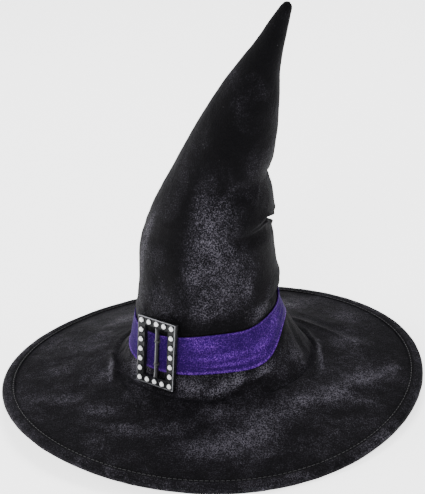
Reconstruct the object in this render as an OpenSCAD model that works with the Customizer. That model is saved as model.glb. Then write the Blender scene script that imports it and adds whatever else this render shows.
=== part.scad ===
// Witch hat: soft velvet cone sewn shut by two tucks so that it leans, on a wide wired brim,
// with a ribbon band and a stone-set buckle tacked to the band.
// Millimetres, +Z up. The origin is the middle of the brim, at the level of its lowest point.

/* [Brim] */
// Diameter across the brim, over the bound edge
brim_d = 400; // [360:5:440]
// Mean height of the brim's middle layer at its edge
edge_z = 11.1; // [10.5:0.1:14]
// Height of the brim's middle layer where the crown joins it
seam_z = 31.5; // [26:0.5:36]
// Height of the two-lobed wave of the brim's edge, middle to crest
wave_2 = 6.6; // [0:0.1:8]
// Height of the three-lobed wave of the brim's edge, middle to crest
wave_3 = 1.1; // [0:0.1:2]
// Thickness of the brim's foam
foam_t = 2.2; // [1.5:0.1:2.6]
// Thickness of the velvet on either side of the foam
brim_velvet_t = 1; // [0.6:0.1:1.2]
// Distance from the brim's edge to the row of topstitching
topstitch_in = 11; // [9:0.5:16]

/* [Crown] */
// Radius of the seam between crown and brim, which fits a 58 cm head
seam_r = 95.25; // [92:0.25:100]
// Thickness of the crown's velvet
velvet_t = 1.1; // [0.8:0.1:1.3]
// Thickness of the stiff interfacing behind the velvet
interfacing_t = 0.9; // [0.5:0.1:1.2]
// Thickness of the lining
lining_t = 0.5; // [0.3:0.1:0.6]
// Height of the lower tuck, where the cone bends
lower_tuck_z = 171.75; // [171.25:0.25:172.25]
// Height of the upper tuck, where the tip bends
upper_tuck_z = 217.75; // [217.25:0.25:218.25]

/* [Band and buckle] */
// Thickness of the ribbon band
band_t = 1.05; // [0.8:0.05:1.2]
// Half of the width of the band where it lies flat
band_half_w = 16.8; // [14:0.2:18]
// Direction that the buckle faces, from +X towards +Y
buckle_angle = 230; // [224:1:236]
// Distance of the buckle's front face from the hat's axis
buckle_reach = 78.4; // [78.4:0.1:80]
// Height of the middle of the buckle
buckle_z = 69.5; // [68:0.5:71]
// How far the buckle leans back
buckle_lean = 8.5; // [8.5:0.5:10]
// Width of the buckle's frame
frame_w = 43.6; // [42:0.2:44]
// Height of the buckle's frame
frame_h = 64; // [62:0.2:64]
// Width of the frame's rails
rail_w = 8.2; // [7.4:0.1:8.6]
// Thickness of the frame
frame_t = 5; // [4:0.1:5]
// Diameter of a stone
stone_d = 4.7; // [4:0.1:5.2]

/* [Hidden] */
STONES_ACROSS = 5;
STONES_DOWN = 7;
STONE_COUNT = 2 * STONES_ACROSS + 2 * STONES_DOWN - 4;

$fn = 32;
crown_sides = 36;
brim_sides = 60;
layer_gap = 0.2;
fold_gap = 1.25;        // half of the opening between two bodies of the cone

black_velvet = [0.07, 0.07, 0.08];
black_lining = [0.10, 0.10, 0.11];
purple = [0.26, 0.14, 0.52];

// The crown's outline in the plane Y = 0: height, left side, right side, and how far the
// cloth is pressed in behind the buckle.
profile = [
    [33, -seam_r, seam_r, 14], [38, -91, 92.5, 15.5], [45, -84, 88, 10.5], [55, -77, 82, 5.5],
    [66, -73, 75.5, 2.5], [78, -69.5, 70, 1], [90, -66.5, 66, 0], [104, -64.5, 65, 0],
    [124, -62, 65.5, 0], [146, -61, 64.5, 0], [160, -58.5, 64, 0],
    [lower_tuck_z - fold_gap, -54.5, 60.5, 0], [lower_tuck_z + fold_gap, -53.5, 60, 0],
    [176.5, -52, 62.5, 0], [182, -49.5, 66, 0], [190, -46, 66, 0], [204, -38, 64.5, 0],
    [upper_tuck_z - fold_gap, -30.5, 61.5, 0], [upper_tuck_z + fold_gap, -29, 61.5, 0],
    [226, -25, 63.5, 0], [234, -20.5, 66.5, 0], [250, -11, 70.5, 0], [280, 7.5, 74, 0],
    [310, 29.5, 76, 0], [340, 54, 81.5, 0], [362, 70.5, 86.5, 0], [371, 77.5, 88, 0],
    [374.5, 81.6, 85.6, 0]];
press_angle = 222;
press_spread = 60;

// ---------------------------------------------------------------- helpers

function stone_name(i) = str("rhinestone_", i < 9 ? "0" : "", i + 1);
function gap_between(a, b) =
    let (d = (a - b) % 360) d > 180 ? d - 360 : d < -180 ? d + 360 : d;
function bump(a, at, spread) = exp(-pow(gap_between(a, at) / spread, 2));
function column(k) = [for (p = profile) [p[0], p[k]]];
function heights(low, high) = [for (p = profile) if (p[0] > low && p[0] < high) p[0]];
function angles(sides) = [for (i = [0 : sides - 1]) i * 360 / sides];
function on_axis_plane(a, r, z) = [r * cos(a), r * sin(a), z];
function reversed(list) = [for (i = [len(list) - 1 : -1 : 0]) list[i]];

// A point of the crown, inset from its outer surface
function crown_point(z, a, inset) =
    let (left = lookup(z, column(1)), right = lookup(z, column(2)),
         pressed = lookup(z, column(3)) * bump(a, press_angle, press_spread),
         r = (right - left) / 2 - pressed - inset)
    [(left + right) / 2 + r * cos(a), r * sin(a), z];

// Height of the brim's middle layer
function brim_inner_r(a) =
    seam_r + 0.6 - lookup(33, column(3)) * bump(a, press_angle, press_spread);
function edge_wave(a) = wave_2 * cos(2 * (a - 21.2)) + wave_3 * cos(3 * (a + 13.9));
function brim_z(r, a) =
    let (out = (r - brim_inner_r(a)) / (brim_d / 2 - brim_inner_r(a)))
    seam_z + (edge_z - seam_z) * (1 - pow(1 - out, 1.25))
    + edge_wave(a) * pow(max(out, 0), 1.3);

// A closed ring, or an open bar, skinned over loops that all have the same number of points.
// The loops follow each other anticlockwise and run up their outer side.
module skin(loops, closed = true) {
    stations = len(loops);
    count = len(loops[0]);
    last = closed ? stations - 1 : stations - 2;
    function at(i, j) = (i % stations) * count + (j % count);
    sides = [for (i = [0 : last]) for (j = [0 : count - 1])
        each [[at(i, j), at(i, j + 1), at(i + 1, j + 1)],
              [at(i, j), at(i + 1, j + 1), at(i + 1, j)]]];
    ends = closed ? [] : [[for (j = [count - 1 : -1 : 0]) at(0, j)],
                          [for (j = [0 : count - 1]) at(stations - 1, j)]];
    polyhedron(points = [for (loop = loops) each loop], faces = concat(sides, ends));
}

// A layer of the crown between two heights, open at its foot and, unless capped, at its top
module crown_layer(low, high, inset, thickness, capped = false) {
    zs = concat([low], heights(low, high), [high]);
    rings = len(zs);
    sides = crown_sides;
    function at(k, i) = k * sides + i % sides;
    outer = [for (z = zs) for (a = angles(sides)) crown_point(z, a, inset)];
    inner = [for (z = reversed(zs)) for (a = angles(sides))
        crown_point(capped && z == high ? z - thickness : z, a, inset + thickness)];
    total = 2 * rings;
    walls = [for (k = [0 : total - 1]) if (!(capped && k == rings - 1)) for (i = [0 : sides - 1])
        each [[at(k, i), at((k + 1) % total, i), at((k + 1) % total, i + 1)],
              [at(k, i), at((k + 1) % total, i + 1), at(k, i + 1)]]];
    caps = capped ? [[for (i = [sides - 1 : -1 : 0]) at(rings - 1, i)],
                     [for (i = [0 : sides - 1]) at(rings, i)]] : [];
    polyhedron(points = concat(outer, inner), faces = concat(walls, caps));
}

// ---------------------------------------------------------------- brim

velvet_low = foam_t / 2 + 0.3;
layer_edge_r = brim_d / 2 - 4.4;
bead_r = brim_d / 2 - 3.4;        // middle of the bound edge
bead_out = 3.4;
bead_in = 2.6;
binding_lip = topstitch_in - 2;   // how far the binding reaches inwards from the bead's middle
stitch_count = 72;

// A layer of the brim, from one height to another above its middle
module brim_layer(low, high) {
    steps = [0, 0.18, 0.42, 0.68, 0.86, 1];
    function radius(a, s) = brim_inner_r(a) + (layer_edge_r - brim_inner_r(a)) * s;
    function edge(a, h, list) =
        [for (s = list) on_axis_plane(a, radius(a, s), brim_z(radius(a, s), a) + h)];
    skin([for (a = angles(brim_sides)) concat(edge(a, low, steps), edge(a, high, reversed(steps)))]);
}

// The outline of a strip folded round the brim's edge, with lips that reach inwards
function fold_section(out_r, in_r, lip) = concat(
    [[-lip, -out_r]], [for (t = [-90 : 45 : 90]) out_r * [cos(t), sin(t)]], [[-lip, out_r]],
    [[-lip, in_r]], [for (t = [90 : -45 : -90]) in_r * [cos(t), sin(t)]], [[-lip, -in_r]]);

function round_section(r, sides) = [for (t = angles(sides)) r * [cos(t - 90), sin(t - 90)]];

// A section carried all the way round the brim's edge
module along_edge(section, r) skin([for (a = angles(brim_sides))
    [for (p = section) on_axis_plane(a, r + p[0], brim_z(r + p[0], a) + p[1])]]);

// Places its children on a circle of the brim, raised above its middle: X along the circle
module on_brim(r, a, raise) {
    slope = atan2(brim_z(r, a + 1) - brim_z(r, a - 1), 2 * PI * r / 180);
    translate(on_axis_plane(a, r, brim_z(r, a) + raise))
        rotate([0, 0, a + 90]) rotate([0, -slope, 0]) children();
}

module brim_top_velvet() color(black_velvet) brim_layer(velvet_low, velvet_low + brim_velvet_t);

module brim_foam() color([0.2, 0.2, 0.22]) brim_layer(-foam_t / 2, foam_t / 2);

module brim_underside_velvet() color(black_velvet)
    brim_layer(-velvet_low - brim_velvet_t, -velvet_low);

module brim_edge_binding() color(black_velvet)
    along_edge(fold_section(bead_out, bead_in, binding_lip), bead_r);

wire_r = 0.9;
wire_ring_r = bead_r + 0.9;
ferrule_angle = 90 + 180 / brim_sides;     // the middle of a side, where the wire is straight
ferrule_ring_r = wire_ring_r * cos(180 / brim_sides);
ferrule_length = 12;

module brim_wire() color("silver") along_edge(round_section(wire_r, 6), wire_ring_r);

// A crimp closed over the two ends of the wire, open on its inner side
module brim_wire_ferrule() color("gold")
    on_brim(ferrule_ring_r, ferrule_angle, 0)
        mirror([0, 1, 0]) rotate([90, 0, 90]) linear_extrude(ferrule_length, center = true)
            polygon(fold_section(1.55, 1.15, 0.5));

stitch_length = 9;
stitch_r = 0.3;
module brim_topstitch() color([0.05, 0.05, 0.06])
    for (a = angles(stitch_count))
        on_brim(brim_d / 2 - topstitch_in, a, bead_out + stitch_r + 0.15)
            rotate([0, 90, 0]) cylinder(r = stitch_r, h = stitch_length, center = true, $fn = 6);

// ---------------------------------------------------------------- crown

lower_top = lower_tuck_z - fold_gap;
middle_low = lower_tuck_z + fold_gap;
middle_top = upper_tuck_z - fold_gap;
tip_low = upper_tuck_z + fold_gap;
foot_z = 33;
tip_z = 374.5;
behind_velvet = velvet_t + layer_gap;
behind_interfacing = behind_velvet + interfacing_t + layer_gap;
behind_lining = behind_interfacing + lining_t + layer_gap;
interfacing_top = 362;
lining_top = 286;

module crown_velvet_lower() color(black_velvet) crown_layer(foot_z, lower_top, 0, velvet_t);
module crown_velvet_middle() color(black_velvet) crown_layer(middle_low, middle_top, 0, velvet_t);
module crown_velvet_tip() color(black_velvet) crown_layer(tip_low, tip_z, 0, velvet_t, true);

module crown_interfacing_lower() color("dimgray")
    crown_layer(foot_z, lower_top, behind_velvet, interfacing_t);
module crown_interfacing_middle() color("dimgray")
    crown_layer(middle_low, middle_top, behind_velvet, interfacing_t);
module crown_interfacing_tip() color("dimgray")
    crown_layer(tip_low, interfacing_top, behind_velvet, interfacing_t);

module crown_lining_lower() color(black_lining)
    crown_layer(foot_z, lower_top, behind_interfacing, lining_t);
module crown_lining_middle() color(black_lining)
    crown_layer(middle_low, middle_top, behind_interfacing, lining_t);
module crown_lining_tip() color(black_lining)
    crown_layer(tip_low, lining_top, behind_interfacing, lining_t, true);

// A wad of fibre that keeps the tip from creasing, above the lining's closed end
wad_low = 289;
wad_top = 349;
wad_sides = 24;
module tip_wadding() {
    zs = [wad_low, 300, 310, 325, 340, wad_top];
    top_row = len(zs) - 1;
    function at(k, i) = k * wad_sides + i % wad_sides;
    points = [for (z = zs) for (a = angles(wad_sides)) crown_point(z, a, behind_interfacing + 0.3)];
    walls = [for (k = [0 : top_row - 1]) for (i = [0 : wad_sides - 1])
        each [[at(k, i), at(k + 1, i), at(k + 1, i + 1)],
              [at(k, i), at(k + 1, i + 1), at(k, i + 1)]]];
    caps = [[for (i = [wad_sides - 1 : -1 : 0]) at(top_row, i)],
            [for (i = [0 : wad_sides - 1]) at(0, i)]];
    color("white") polyhedron(points = points, faces = concat(walls, caps));
}

// A ribbon sewn round the inside of the opening
sweatband_low = 34;
sweatband_top = 52;
sweatband_t = 0.8;
module sweatband() color([0.03, 0.03, 0.03])
    crown_layer(sweatband_low, sweatband_top, behind_lining, sweatband_t);

label_w = 20;
label_h = 22;
label_y = 77;
module care_label() color("white")
    translate([-label_w / 2, label_y - 0.4, sweatband_top - 1 - label_h]) cube([label_w, 0.4, label_h]);

// Short rows of thread inside each tuck
tuck_stitches = [-2, -1, 0, 1, 2];
module tuck_thread(z, tuck_x) {
    for (k = tuck_stitches)
        translate([tuck_x - 0.35 * k * k, 4.5 * k, z]) cylinder(r = 0.35, h = 6, center = true, $fn = 16);
}
module lower_tuck_thread() color("black") tuck_thread(lower_top - 4.5, 56.6);
module upper_tuck_thread() color("black") tuck_thread(middle_top - 4.5, 57.4);

// ---------------------------------------------------------------- band

// The band sits askew: low at the left, high at the right, and sags at the front right,
// where it is pulled narrow.
function band_mid(a) = 76.5 + 10.2 * cos(a) + 4.2 * sin(a) - 7 * bump(a, 305, 25);
function band_half(a) = band_half_w - 7 * bump(a, 343, 26) - 2.4 * bump(a, 90, 60);
function band_loop(a, first, thickness) =
    let (steps = [-1, -0.33, 0.33, 1])
    concat([for (s = steps) crown_point(band_mid(a) + s * band_half(a), a, -first - thickness)],
           [for (s = reversed(steps)) crown_point(band_mid(a) + s * band_half(a), a, -first)]);

module hat_band() color(purple)
    skin([for (a = angles(crown_sides)) band_loop(a, 0.25, band_t)]);

module band_lap() color(purple)
    skin([for (a = [81 : 4.5 : 99]) band_loop(a, 0.25 + band_t + 0.2, band_t)], closed = false);

// ---------------------------------------------------------------- buckle

stone_pitch_x = (frame_w - rail_w) / (STONES_ACROSS - 1);
stone_pitch_y = (frame_h - rail_w) / (STONES_DOWN - 1);
pocket_depth = 0.9;
stone_h = 2.1;
bar_r = 2;
bar_depth = 2.4;
corner_r = 1.5;

// Places its children in the buckle's own frame: X across, Y up the bar, Z out of the front
module on_buckle() {
    translate([buckle_reach * cos(buckle_angle), buckle_reach * sin(buckle_angle), buckle_z])
        rotate([0, 0, buckle_angle + 90]) rotate([90 - buckle_lean, 0, 0]) children();
}

// The stones go round the frame, row by row from its lower left corner
stone_places = [for (row = [0 : STONES_DOWN - 1]) for (col = [0 : STONES_ACROSS - 1])
    if (row == 0 || row == STONES_DOWN - 1 || col == 0 || col == STONES_ACROSS - 1)
        [(col - (STONES_ACROSS - 1) / 2) * stone_pitch_x, (row - (STONES_DOWN - 1) / 2) * stone_pitch_y]];

module rounded_outline(w, h, r) {
    square([w - 2 * r, h], center = true);
    square([w, h - 2 * r], center = true);
    for (x = [-1, 1]) for (y = [-1, 1]) translate([x * (w / 2 - r), y * (h / 2 - r)]) circle(r);
}

module buckle_frame() color([0.03, 0.03, 0.03]) on_buckle()
    difference() {
        translate([0, 0, -frame_t]) linear_extrude(frame_t) rounded_outline(frame_w, frame_h, corner_r);
        translate([0, 0, -frame_t / 2])
            cube([frame_w - 2 * rail_w, frame_h - 2 * rail_w, frame_t + 1], center = true);
        for (p = stone_places) translate([p[0], p[1], -pocket_depth]) cylinder(d = stone_d + 0.2, h = 2);
    }

module buckle_bar() color([0.03, 0.03, 0.03]) on_buckle()
    translate([0, 0, -bar_depth]) rotate([90, 0, 0])
        cylinder(r = bar_r, h = frame_h - 2 * rail_w, center = true);

// Two loops of thread hold the bar to the band
module buckle_tack_thread() color("black") on_buckle()
    for (y = [-11, 11]) translate([0, y, -bar_depth]) rotate([90, 0, 0])
        rotate_extrude() translate([bar_r + 0.55, 0]) circle(0.3, $fn = 16);

module rhinestone(i) color("white") on_buckle()
    translate([stone_places[i][0], stone_places[i][1], -pocket_depth])
        rotate_extrude() polygon([[0, 0], [stone_d / 2, 0], [stone_d / 2, pocket_depth],
                                  [stone_d * 0.3, stone_h], [0, stone_h]]);

crown_velvet_lower();
crown_velvet_middle();
crown_velvet_tip();
crown_interfacing_lower();
crown_interfacing_middle();
crown_interfacing_tip();
crown_lining_lower();
crown_lining_middle();
crown_lining_tip();
tip_wadding();
brim_top_velvet();
brim_foam();
brim_underside_velvet();
brim_wire();
brim_wire_ferrule();
brim_edge_binding();
brim_topstitch();
sweatband();
care_label();
hat_band();
band_lap();
lower_tuck_thread();
upper_tuck_thread();
buckle_frame();
buckle_bar();
buckle_tack_thread();
for (i = [0 : STONE_COUNT - 1]) rhinestone(i);
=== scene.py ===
"""A soft witch hat: a crushed velvet cone sewn into a lean, a wired brim, a band and a stone-set buckle.

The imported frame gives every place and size. Lengths in this file are millimetres unless a name
ends in _m, and meshes are written in metres. Angles go round the hat's axis from +X towards +Y.
"""

import logging
import math
from collections.abc import Callable, Iterator, Sequence
from contextlib import contextmanager
from dataclasses import dataclass, field
from enum import Enum

import bmesh
import bpy
import numpy as np
from mathutils import Matrix, Vector, noise


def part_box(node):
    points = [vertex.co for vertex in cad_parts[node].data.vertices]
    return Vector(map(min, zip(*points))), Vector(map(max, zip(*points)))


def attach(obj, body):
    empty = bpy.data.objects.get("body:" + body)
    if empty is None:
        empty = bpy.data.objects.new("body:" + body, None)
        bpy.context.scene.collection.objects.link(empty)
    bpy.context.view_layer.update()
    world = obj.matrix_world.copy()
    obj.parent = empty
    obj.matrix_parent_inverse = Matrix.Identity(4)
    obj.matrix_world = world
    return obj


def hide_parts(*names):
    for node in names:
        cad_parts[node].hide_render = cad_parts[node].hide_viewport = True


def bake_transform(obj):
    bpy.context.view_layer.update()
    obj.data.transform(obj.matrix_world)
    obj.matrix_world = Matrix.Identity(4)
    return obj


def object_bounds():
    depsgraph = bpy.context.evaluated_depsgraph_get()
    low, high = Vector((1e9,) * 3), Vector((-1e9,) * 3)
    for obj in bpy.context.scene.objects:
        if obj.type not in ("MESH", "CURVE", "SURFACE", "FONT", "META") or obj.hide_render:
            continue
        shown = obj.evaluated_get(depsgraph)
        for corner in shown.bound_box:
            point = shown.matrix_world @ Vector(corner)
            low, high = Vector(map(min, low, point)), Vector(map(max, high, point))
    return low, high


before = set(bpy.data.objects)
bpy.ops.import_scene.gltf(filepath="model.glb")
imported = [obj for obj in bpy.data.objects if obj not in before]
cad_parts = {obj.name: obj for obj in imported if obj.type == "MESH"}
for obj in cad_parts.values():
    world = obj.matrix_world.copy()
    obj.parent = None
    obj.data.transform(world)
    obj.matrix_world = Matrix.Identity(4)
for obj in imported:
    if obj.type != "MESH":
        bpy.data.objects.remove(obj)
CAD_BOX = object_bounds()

log = logging.getLogger("witch_hat")

MM = 0.001
FULL_TURN = 360.0
MERGE_WITHIN_M = 1e-6
FAR_AWAY = 5000.0
RIM_ANGLE = 55.0
Array = np.ndarray
Piece = bpy.types.Object
Socket = bpy.types.NodeSocket
Pair = tuple[float, float]
Place = tuple[float, float, float]
Colour = tuple[float, float, float]
Layout = Callable[[Array, Array], Array]
Spread = Callable[[Array, Array, float], Array]


class Body(Enum):
    """The bodies of the frame that pieces ride on."""

    HAT = "hat"
    MIDDLE = "cone_middle"
    TIP = "cone_tip"
    BUCKLE = "buckle"


# ---- numbers on surfaces


def smooth(value: Array) -> Array:
    """Eases a value from 0 to 1, flat at both ends."""
    t = np.clip(value, 0.0, 1.0)
    return t * t * (3.0 - 2.0 * t)


def turn_between(angle: Array, at: float) -> Array:
    """Degrees from one direction to another, from -180 to 180."""
    return (angle - at + 180.0) % FULL_TURN - 180.0


def hill(gap: Array, width: float) -> Array:
    """A round hill of height 1 that fades over the width."""
    return np.exp(-np.square(gap / width))


def rumple(points: Array, wavelength: float, seed: float) -> Array:
    """Smooth unevenness of cloth.

    Args:
        points: Places, one row each.
        wavelength: Distance over which the cloth rises and falls.
        seed: Shifts the pattern, so that two uses differ.

    Returns:
        A value from about -1 to 1 at each place.
    """
    places = points / wavelength + (seed, 2.3 * seed, 5.1 - seed)
    return np.array([noise.noise(Vector(p)) for p in places])


def around(columns: Array, angle: Array) -> Array:
    """Smoothly reads values that stand at even steps round a full turn.

    Args:
        columns: One value per step, or a row of them for every angle.
        angle: Directions in degrees.

    Returns:
        The value in each direction.
    """
    table = np.broadcast_to(columns, (len(angle), columns.shape[-1]))
    steps = table.shape[1]
    place = (np.asarray(angle) / FULL_TURN * steps) % steps
    first = np.floor(place).astype(int)
    t = place - first
    row = np.arange(len(angle))
    a, b, c, d = (table[row, (first + k) % steps] for k in (-1, 0, 1, 2))
    return b + 0.5 * t * (c - a + t * (2 * a - 5 * b + 4 * c - d + t * (3 * (b - c) + d - a)))


class Levels:
    """Columns of values at rising levels, read without overshoot."""

    def __init__(self, levels: Array, values: Array) -> None:
        """Keeps the values with the slopes that they need.

        Args:
            levels: Rising levels.
            values: One row of values per level.
        """
        self.levels = levels
        self.values = values
        step = np.diff(values, axis=0) / np.diff(levels)[:, None]
        before, after = step[:-1], step[1:]
        same = before * after > 0
        inner = np.where(same, 2 * before * after / np.where(same, before + after, 1.0), 0.0)
        self.slopes = np.vstack([step[:1], inner, step[-1:]])

    def __call__(self, level: Array) -> Array:
        """One row of values for every level asked for; it runs straight on past the ends.

        Args:
            level: The levels asked for.

        Returns:
            The rows, one per level.
        """
        row = np.clip(np.searchsorted(self.levels, level) - 1, 0, len(self.levels) - 2)
        low = self.levels[row]
        span = self.levels[row + 1] - low
        t = ((level - low) / span)[:, None]
        inside = np.clip(t, 0.0, 1.0)
        m0, m1 = self.slopes[row] * span[:, None], self.slopes[row + 1] * span[:, None]
        p0, p1 = self.values[row], self.values[row + 1]
        rest = 1.0 - inside
        curve = rest * rest * ((1 + 2 * inside) * p0 + inside * m0)
        curve += inside * inside * ((3 - 2 * inside) * p1 - rest * m1)
        return curve + (t - inside) * np.where(t > 1, m1, m0)


def corners(name: str) -> Array:
    """The corners of one solid of the frame, in millimetres.

    Args:
        name: The solid's name.

    Returns:
        One corner per row.
    """
    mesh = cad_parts[name].data
    flat = np.zeros(len(mesh.vertices) * 3, np.float32)
    mesh.vertices.foreach_get("co", flat)
    return np.unique(np.round(flat.reshape(-1, 3).astype(float) / MM, 3), axis=0)


class CrownForm:
    """The outer surface of the crown, read from the velvet solids of the frame."""

    sides = 36

    def __init__(self) -> None:
        """Reads each ring of corners as a centre and a radius in every direction."""
        points = np.vstack([corners(f"crown_velvet_{part}") for part in ("lower", "middle", "tip")])
        heights, centres, radii = [], [], []
        top = points[:, 2].max()
        for z in np.unique(np.round(points[:, 2], 2)):
            ring = points[np.abs(points[:, 2] - z) < 0.02]
            if len(ring) < 2 * self.sides and z < top - 0.1:
                continue
            centre = ring[ring[:, 1].argmax(), 0]
            x, y = ring[:, 0] - centre, ring[:, 1]
            slot = np.round(np.degrees(np.arctan2(y, x)) * self.sides / FULL_TURN).astype(int)
            radius = np.zeros(self.sides)
            np.maximum.at(radius, slot % self.sides, np.hypot(x, y))
            heights.append(z)
            centres.append([centre])
            radii.append(radius)
        self.low, self.top = heights[0], heights[-1]
        self._centre = Levels(np.array(heights), np.array(centres))
        self._radius = Levels(np.array(heights), np.array(radii))

    def centre(self, z: Array) -> Array:
        """How far the middle of the crown stands from the axis at each height."""
        return self._centre(z)[:, 0]

    def radius(self, z: Array, angle: Array) -> Array:
        """The crown's radius at each height and in each direction."""
        return around(self._radius(z), angle)

    def direction(self, points: Array) -> Array:
        """The direction in degrees of each place, seen from the middle of the crown at its height."""
        return np.degrees(np.arctan2(points[:, 1], points[:, 0] - self.centre(points[:, 2])))

    def point(self, z: Array, angle: Array, lift: Array | float) -> Array:
        """Places on the crown, lifted off its surface.

        Args:
            z: Heights.
            angle: Directions in degrees.
            lift: Distance outwards from the surface.

        Returns:
            One place per row.
        """
        r = np.maximum(self.radius(z, angle) + lift, 0.0)
        turn = np.radians(angle)
        return np.column_stack([self.centre(z) + r * np.cos(turn), r * np.sin(turn), z])


class BrimForm:
    """The middle layer of the brim, read from the foam solid of the frame."""

    sides = 60

    def __init__(self) -> None:
        """Reads the radii and mean heights of the foam in every direction."""
        points = corners("brim_foam")
        angle = np.degrees(np.arctan2(points[:, 1], points[:, 0]))
        slot = np.round(angle * self.sides / FULL_TURN).astype(int) % self.sides
        radius = np.hypot(points[:, 0], points[:, 1])
        reaches, heights = [], []
        for k in range(self.sides):
            spoke = np.argsort(radius[slot == k])
            reaches.append(radius[slot == k][spoke].reshape(-1, 2).mean(1))
            heights.append(points[slot == k, 2][spoke].reshape(-1, 2).mean(1))
        reach = np.array(reaches)
        self.inner = reach[:, 0]
        self.outer = float(reach[:, -1].mean())
        share = ((reach - reach[:, :1]) / (reach[:, -1:] - reach[:, :1])).mean(0)
        self._height = Levels(share, np.array(heights).T)

    def inner_radius(self, angle: Array) -> Array:
        """Radius of the brim's opening in each direction."""
        return around(self.inner, angle)

    def height(self, radius: Array, angle: Array) -> Array:
        """Height of the middle layer at each radius and in each direction."""
        inner = self.inner_radius(angle)
        return around(self._height((radius - inner) / (self.outer - inner)), angle)

    def point(self, radius: Array, angle: Array, lift: Array | float) -> Array:
        """Places above the middle layer, one per row.

        Args:
            radius: Distances from the axis.
            angle: Directions in degrees.
            lift: Height above the middle layer.

        Returns:
            One place per row.
        """
        turn = np.radians(angle)
        z = self.height(radius, angle) + lift
        return np.column_stack([radius * np.cos(turn), radius * np.sin(turn), z])


# ---- folds


class FoldKind(Enum):
    """How a fold stands out of the cloth."""

    RIDGE = "ridge"
    VALLEY = "valley"
    STEP = "step"


VALLEY, STEP = FoldKind.VALLEY, FoldKind.STEP


@dataclass(frozen=True)
class Fold:
    """A fold that runs straight from one place on the cloth to another.

    Each place is a direction in degrees and a height on the crown, or a radius on the brim.
    """

    start: Pair
    end: Pair
    width: float
    depth: float
    kind: FoldKind = FoldKind.RIDGE

    def lift(self, along: Array, off: Array, beyond: Array) -> Array:
        """How far the cloth rises near the fold.

        Args:
            along: From 0 at the start to 1 at the end.
            off: Distance to the side of the fold, positive to the left of its direction.
            beyond: Distance past the nearer end.

        Returns:
            The rise, negative in a valley.
        """
        fade = hill(beyond, 2.2 * self.width) * (0.35 + 0.65 * np.sin(np.pi * np.clip(along, 0.12, 0.88)))
        if self.kind is FoldKind.RIDGE:
            shape = hill(off, self.width)
        elif self.kind is FoldKind.VALLEY:
            shape = 0.35 * hill(np.abs(off) - 2.0 * self.width, self.width) - hill(off, self.width)
        else:
            fading = np.exp(-np.maximum(off, 0.0) / (3.0 * self.width))
            proud = fading * smooth(off / (0.4 * self.width) + 0.5)
            shape = proud - 0.35 * hill(off + self.width, self.width)
        return self.depth * fade * shape


def folded(folds: Sequence[Fold], spread: Spread,
           angle: Array, reach: Array) -> Array:
    """The rise of the cloth from all its folds.

    Args:
        folds: The folds.
        spread: Lays places out flat near a direction, given directions, reaches and that direction.
        angle: Directions of the cloth's points.
        reach: Heights or radii of the cloth's points.

    Returns:
        The rise at each point.
    """
    total = np.zeros(len(angle))
    for fold in folds:
        middle = fold.start[0] + turn_between(np.array(fold.end[0]), fold.start[0]) / 2
        flat = spread(angle, reach, middle)
        ends = spread(np.array([fold.start[0], fold.end[0]]), np.array([fold.start[1], fold.end[1]]), middle)
        run = ends[1] - ends[0]
        length = np.hypot(*run)
        run = run / length
        from_start = flat - ends[0]
        along = from_start @ run
        off = from_start @ np.array([-run[1], run[0]])
        beyond = np.maximum(np.maximum(-along, along - length), 0.0)
        total += fold.lift(along / length, off, beyond)
    return total


@dataclass(frozen=True)
class Patch:
    """A patch of painted sheen on velvet, or of painted shade where its strength is below 0."""

    at: Pair
    reach: Pair
    lean: float
    strength: float


def brushed(patches: Sequence[Patch], spread: Spread,
            angle: Array, reach: Array) -> Array:
    """How much painted sheen lies on the cloth, less where patches paint shade.

    Args:
        patches: The patches, each laid over those before it.
        spread: Lays places out flat near a direction, given directions, reaches and that direction.
        angle: Directions of the cloth's points.
        reach: Heights or radii of the cloth's points.

    Returns:
        From 0, no painted sheen, to 1, full painted sheen, at each point.
    """
    total = np.zeros(len(angle))
    for patch in patches:
        middle = spread(np.array([patch.at[0]]), np.array([patch.at[1]]), patch.at[0])
        away = spread(angle, reach, patch.at[0]) - middle
        turn = math.radians(patch.lean)
        across = (away @ (math.cos(turn), math.sin(turn))) / patch.reach[0]
        along = (away @ (-math.sin(turn), math.cos(turn))) / patch.reach[1]
        force = patch.strength * np.exp(-np.power(across**2 + along**2, 1.3))
        total += force * ((1.0 - total) if patch.strength > 0 else total)
    return total


# ---- making meshes


def clear_selection() -> None:
    """Leaves nothing selected, so that a tool acts only on the piece in hand."""
    if bpy.context.object and bpy.context.object.mode != "OBJECT":
        bpy.ops.object.mode_set(mode="OBJECT")
    bpy.ops.object.select_all(action="DESELECT")


def take(piece: Piece) -> None:
    """Makes one piece the selected and active one.

    Args:
        piece: The piece.
    """
    clear_selection()
    piece.select_set(True)
    bpy.context.view_layer.objects.active = piece


def added(name: str) -> Piece:
    """Names the primitive that was just added, and places it in its mesh.

    Args:
        name: The piece's name.

    Returns:
        The piece, at the origin.
    """
    piece = bpy.context.object
    piece.name = name
    piece.data.name = name
    bpy.ops.object.transform_apply(location=True, rotation=True, scale=True)
    return piece


@contextmanager
def editing() -> Iterator[None]:
    """Opens the active piece for editing with all of it selected, and closes it afterwards."""
    bpy.ops.object.mode_set(mode="EDIT")
    bpy.ops.mesh.select_all(action="SELECT")
    yield
    bpy.ops.object.mode_set(mode="OBJECT")


def places_of(piece: Piece) -> Array:
    """The corners of a piece in metres, one per row.

    Args:
        piece: The piece.

    Returns:
        One corner per row.
    """
    flat = np.zeros(len(piece.data.vertices) * 3, np.float32)
    piece.data.vertices.foreach_get("co", flat)
    return flat.reshape(-1, 3).astype(float)


def set_places(piece: Piece, points: Array) -> None:
    """Moves the corners of a piece to places in millimetres."""
    piece.data.vertices.foreach_set("co", (points * MM).astype(np.float32).ravel())
    piece.data.update()


def paint_sheen(piece: Piece, painted_sheen: Array) -> None:
    """Keeps on a piece how much painted sheen it shows at each corner."""
    layer = piece.data.attributes.new("painted_sheen", "FLOAT", "POINT")
    layer.data.foreach_set("value", painted_sheen.astype(np.float32))


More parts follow.
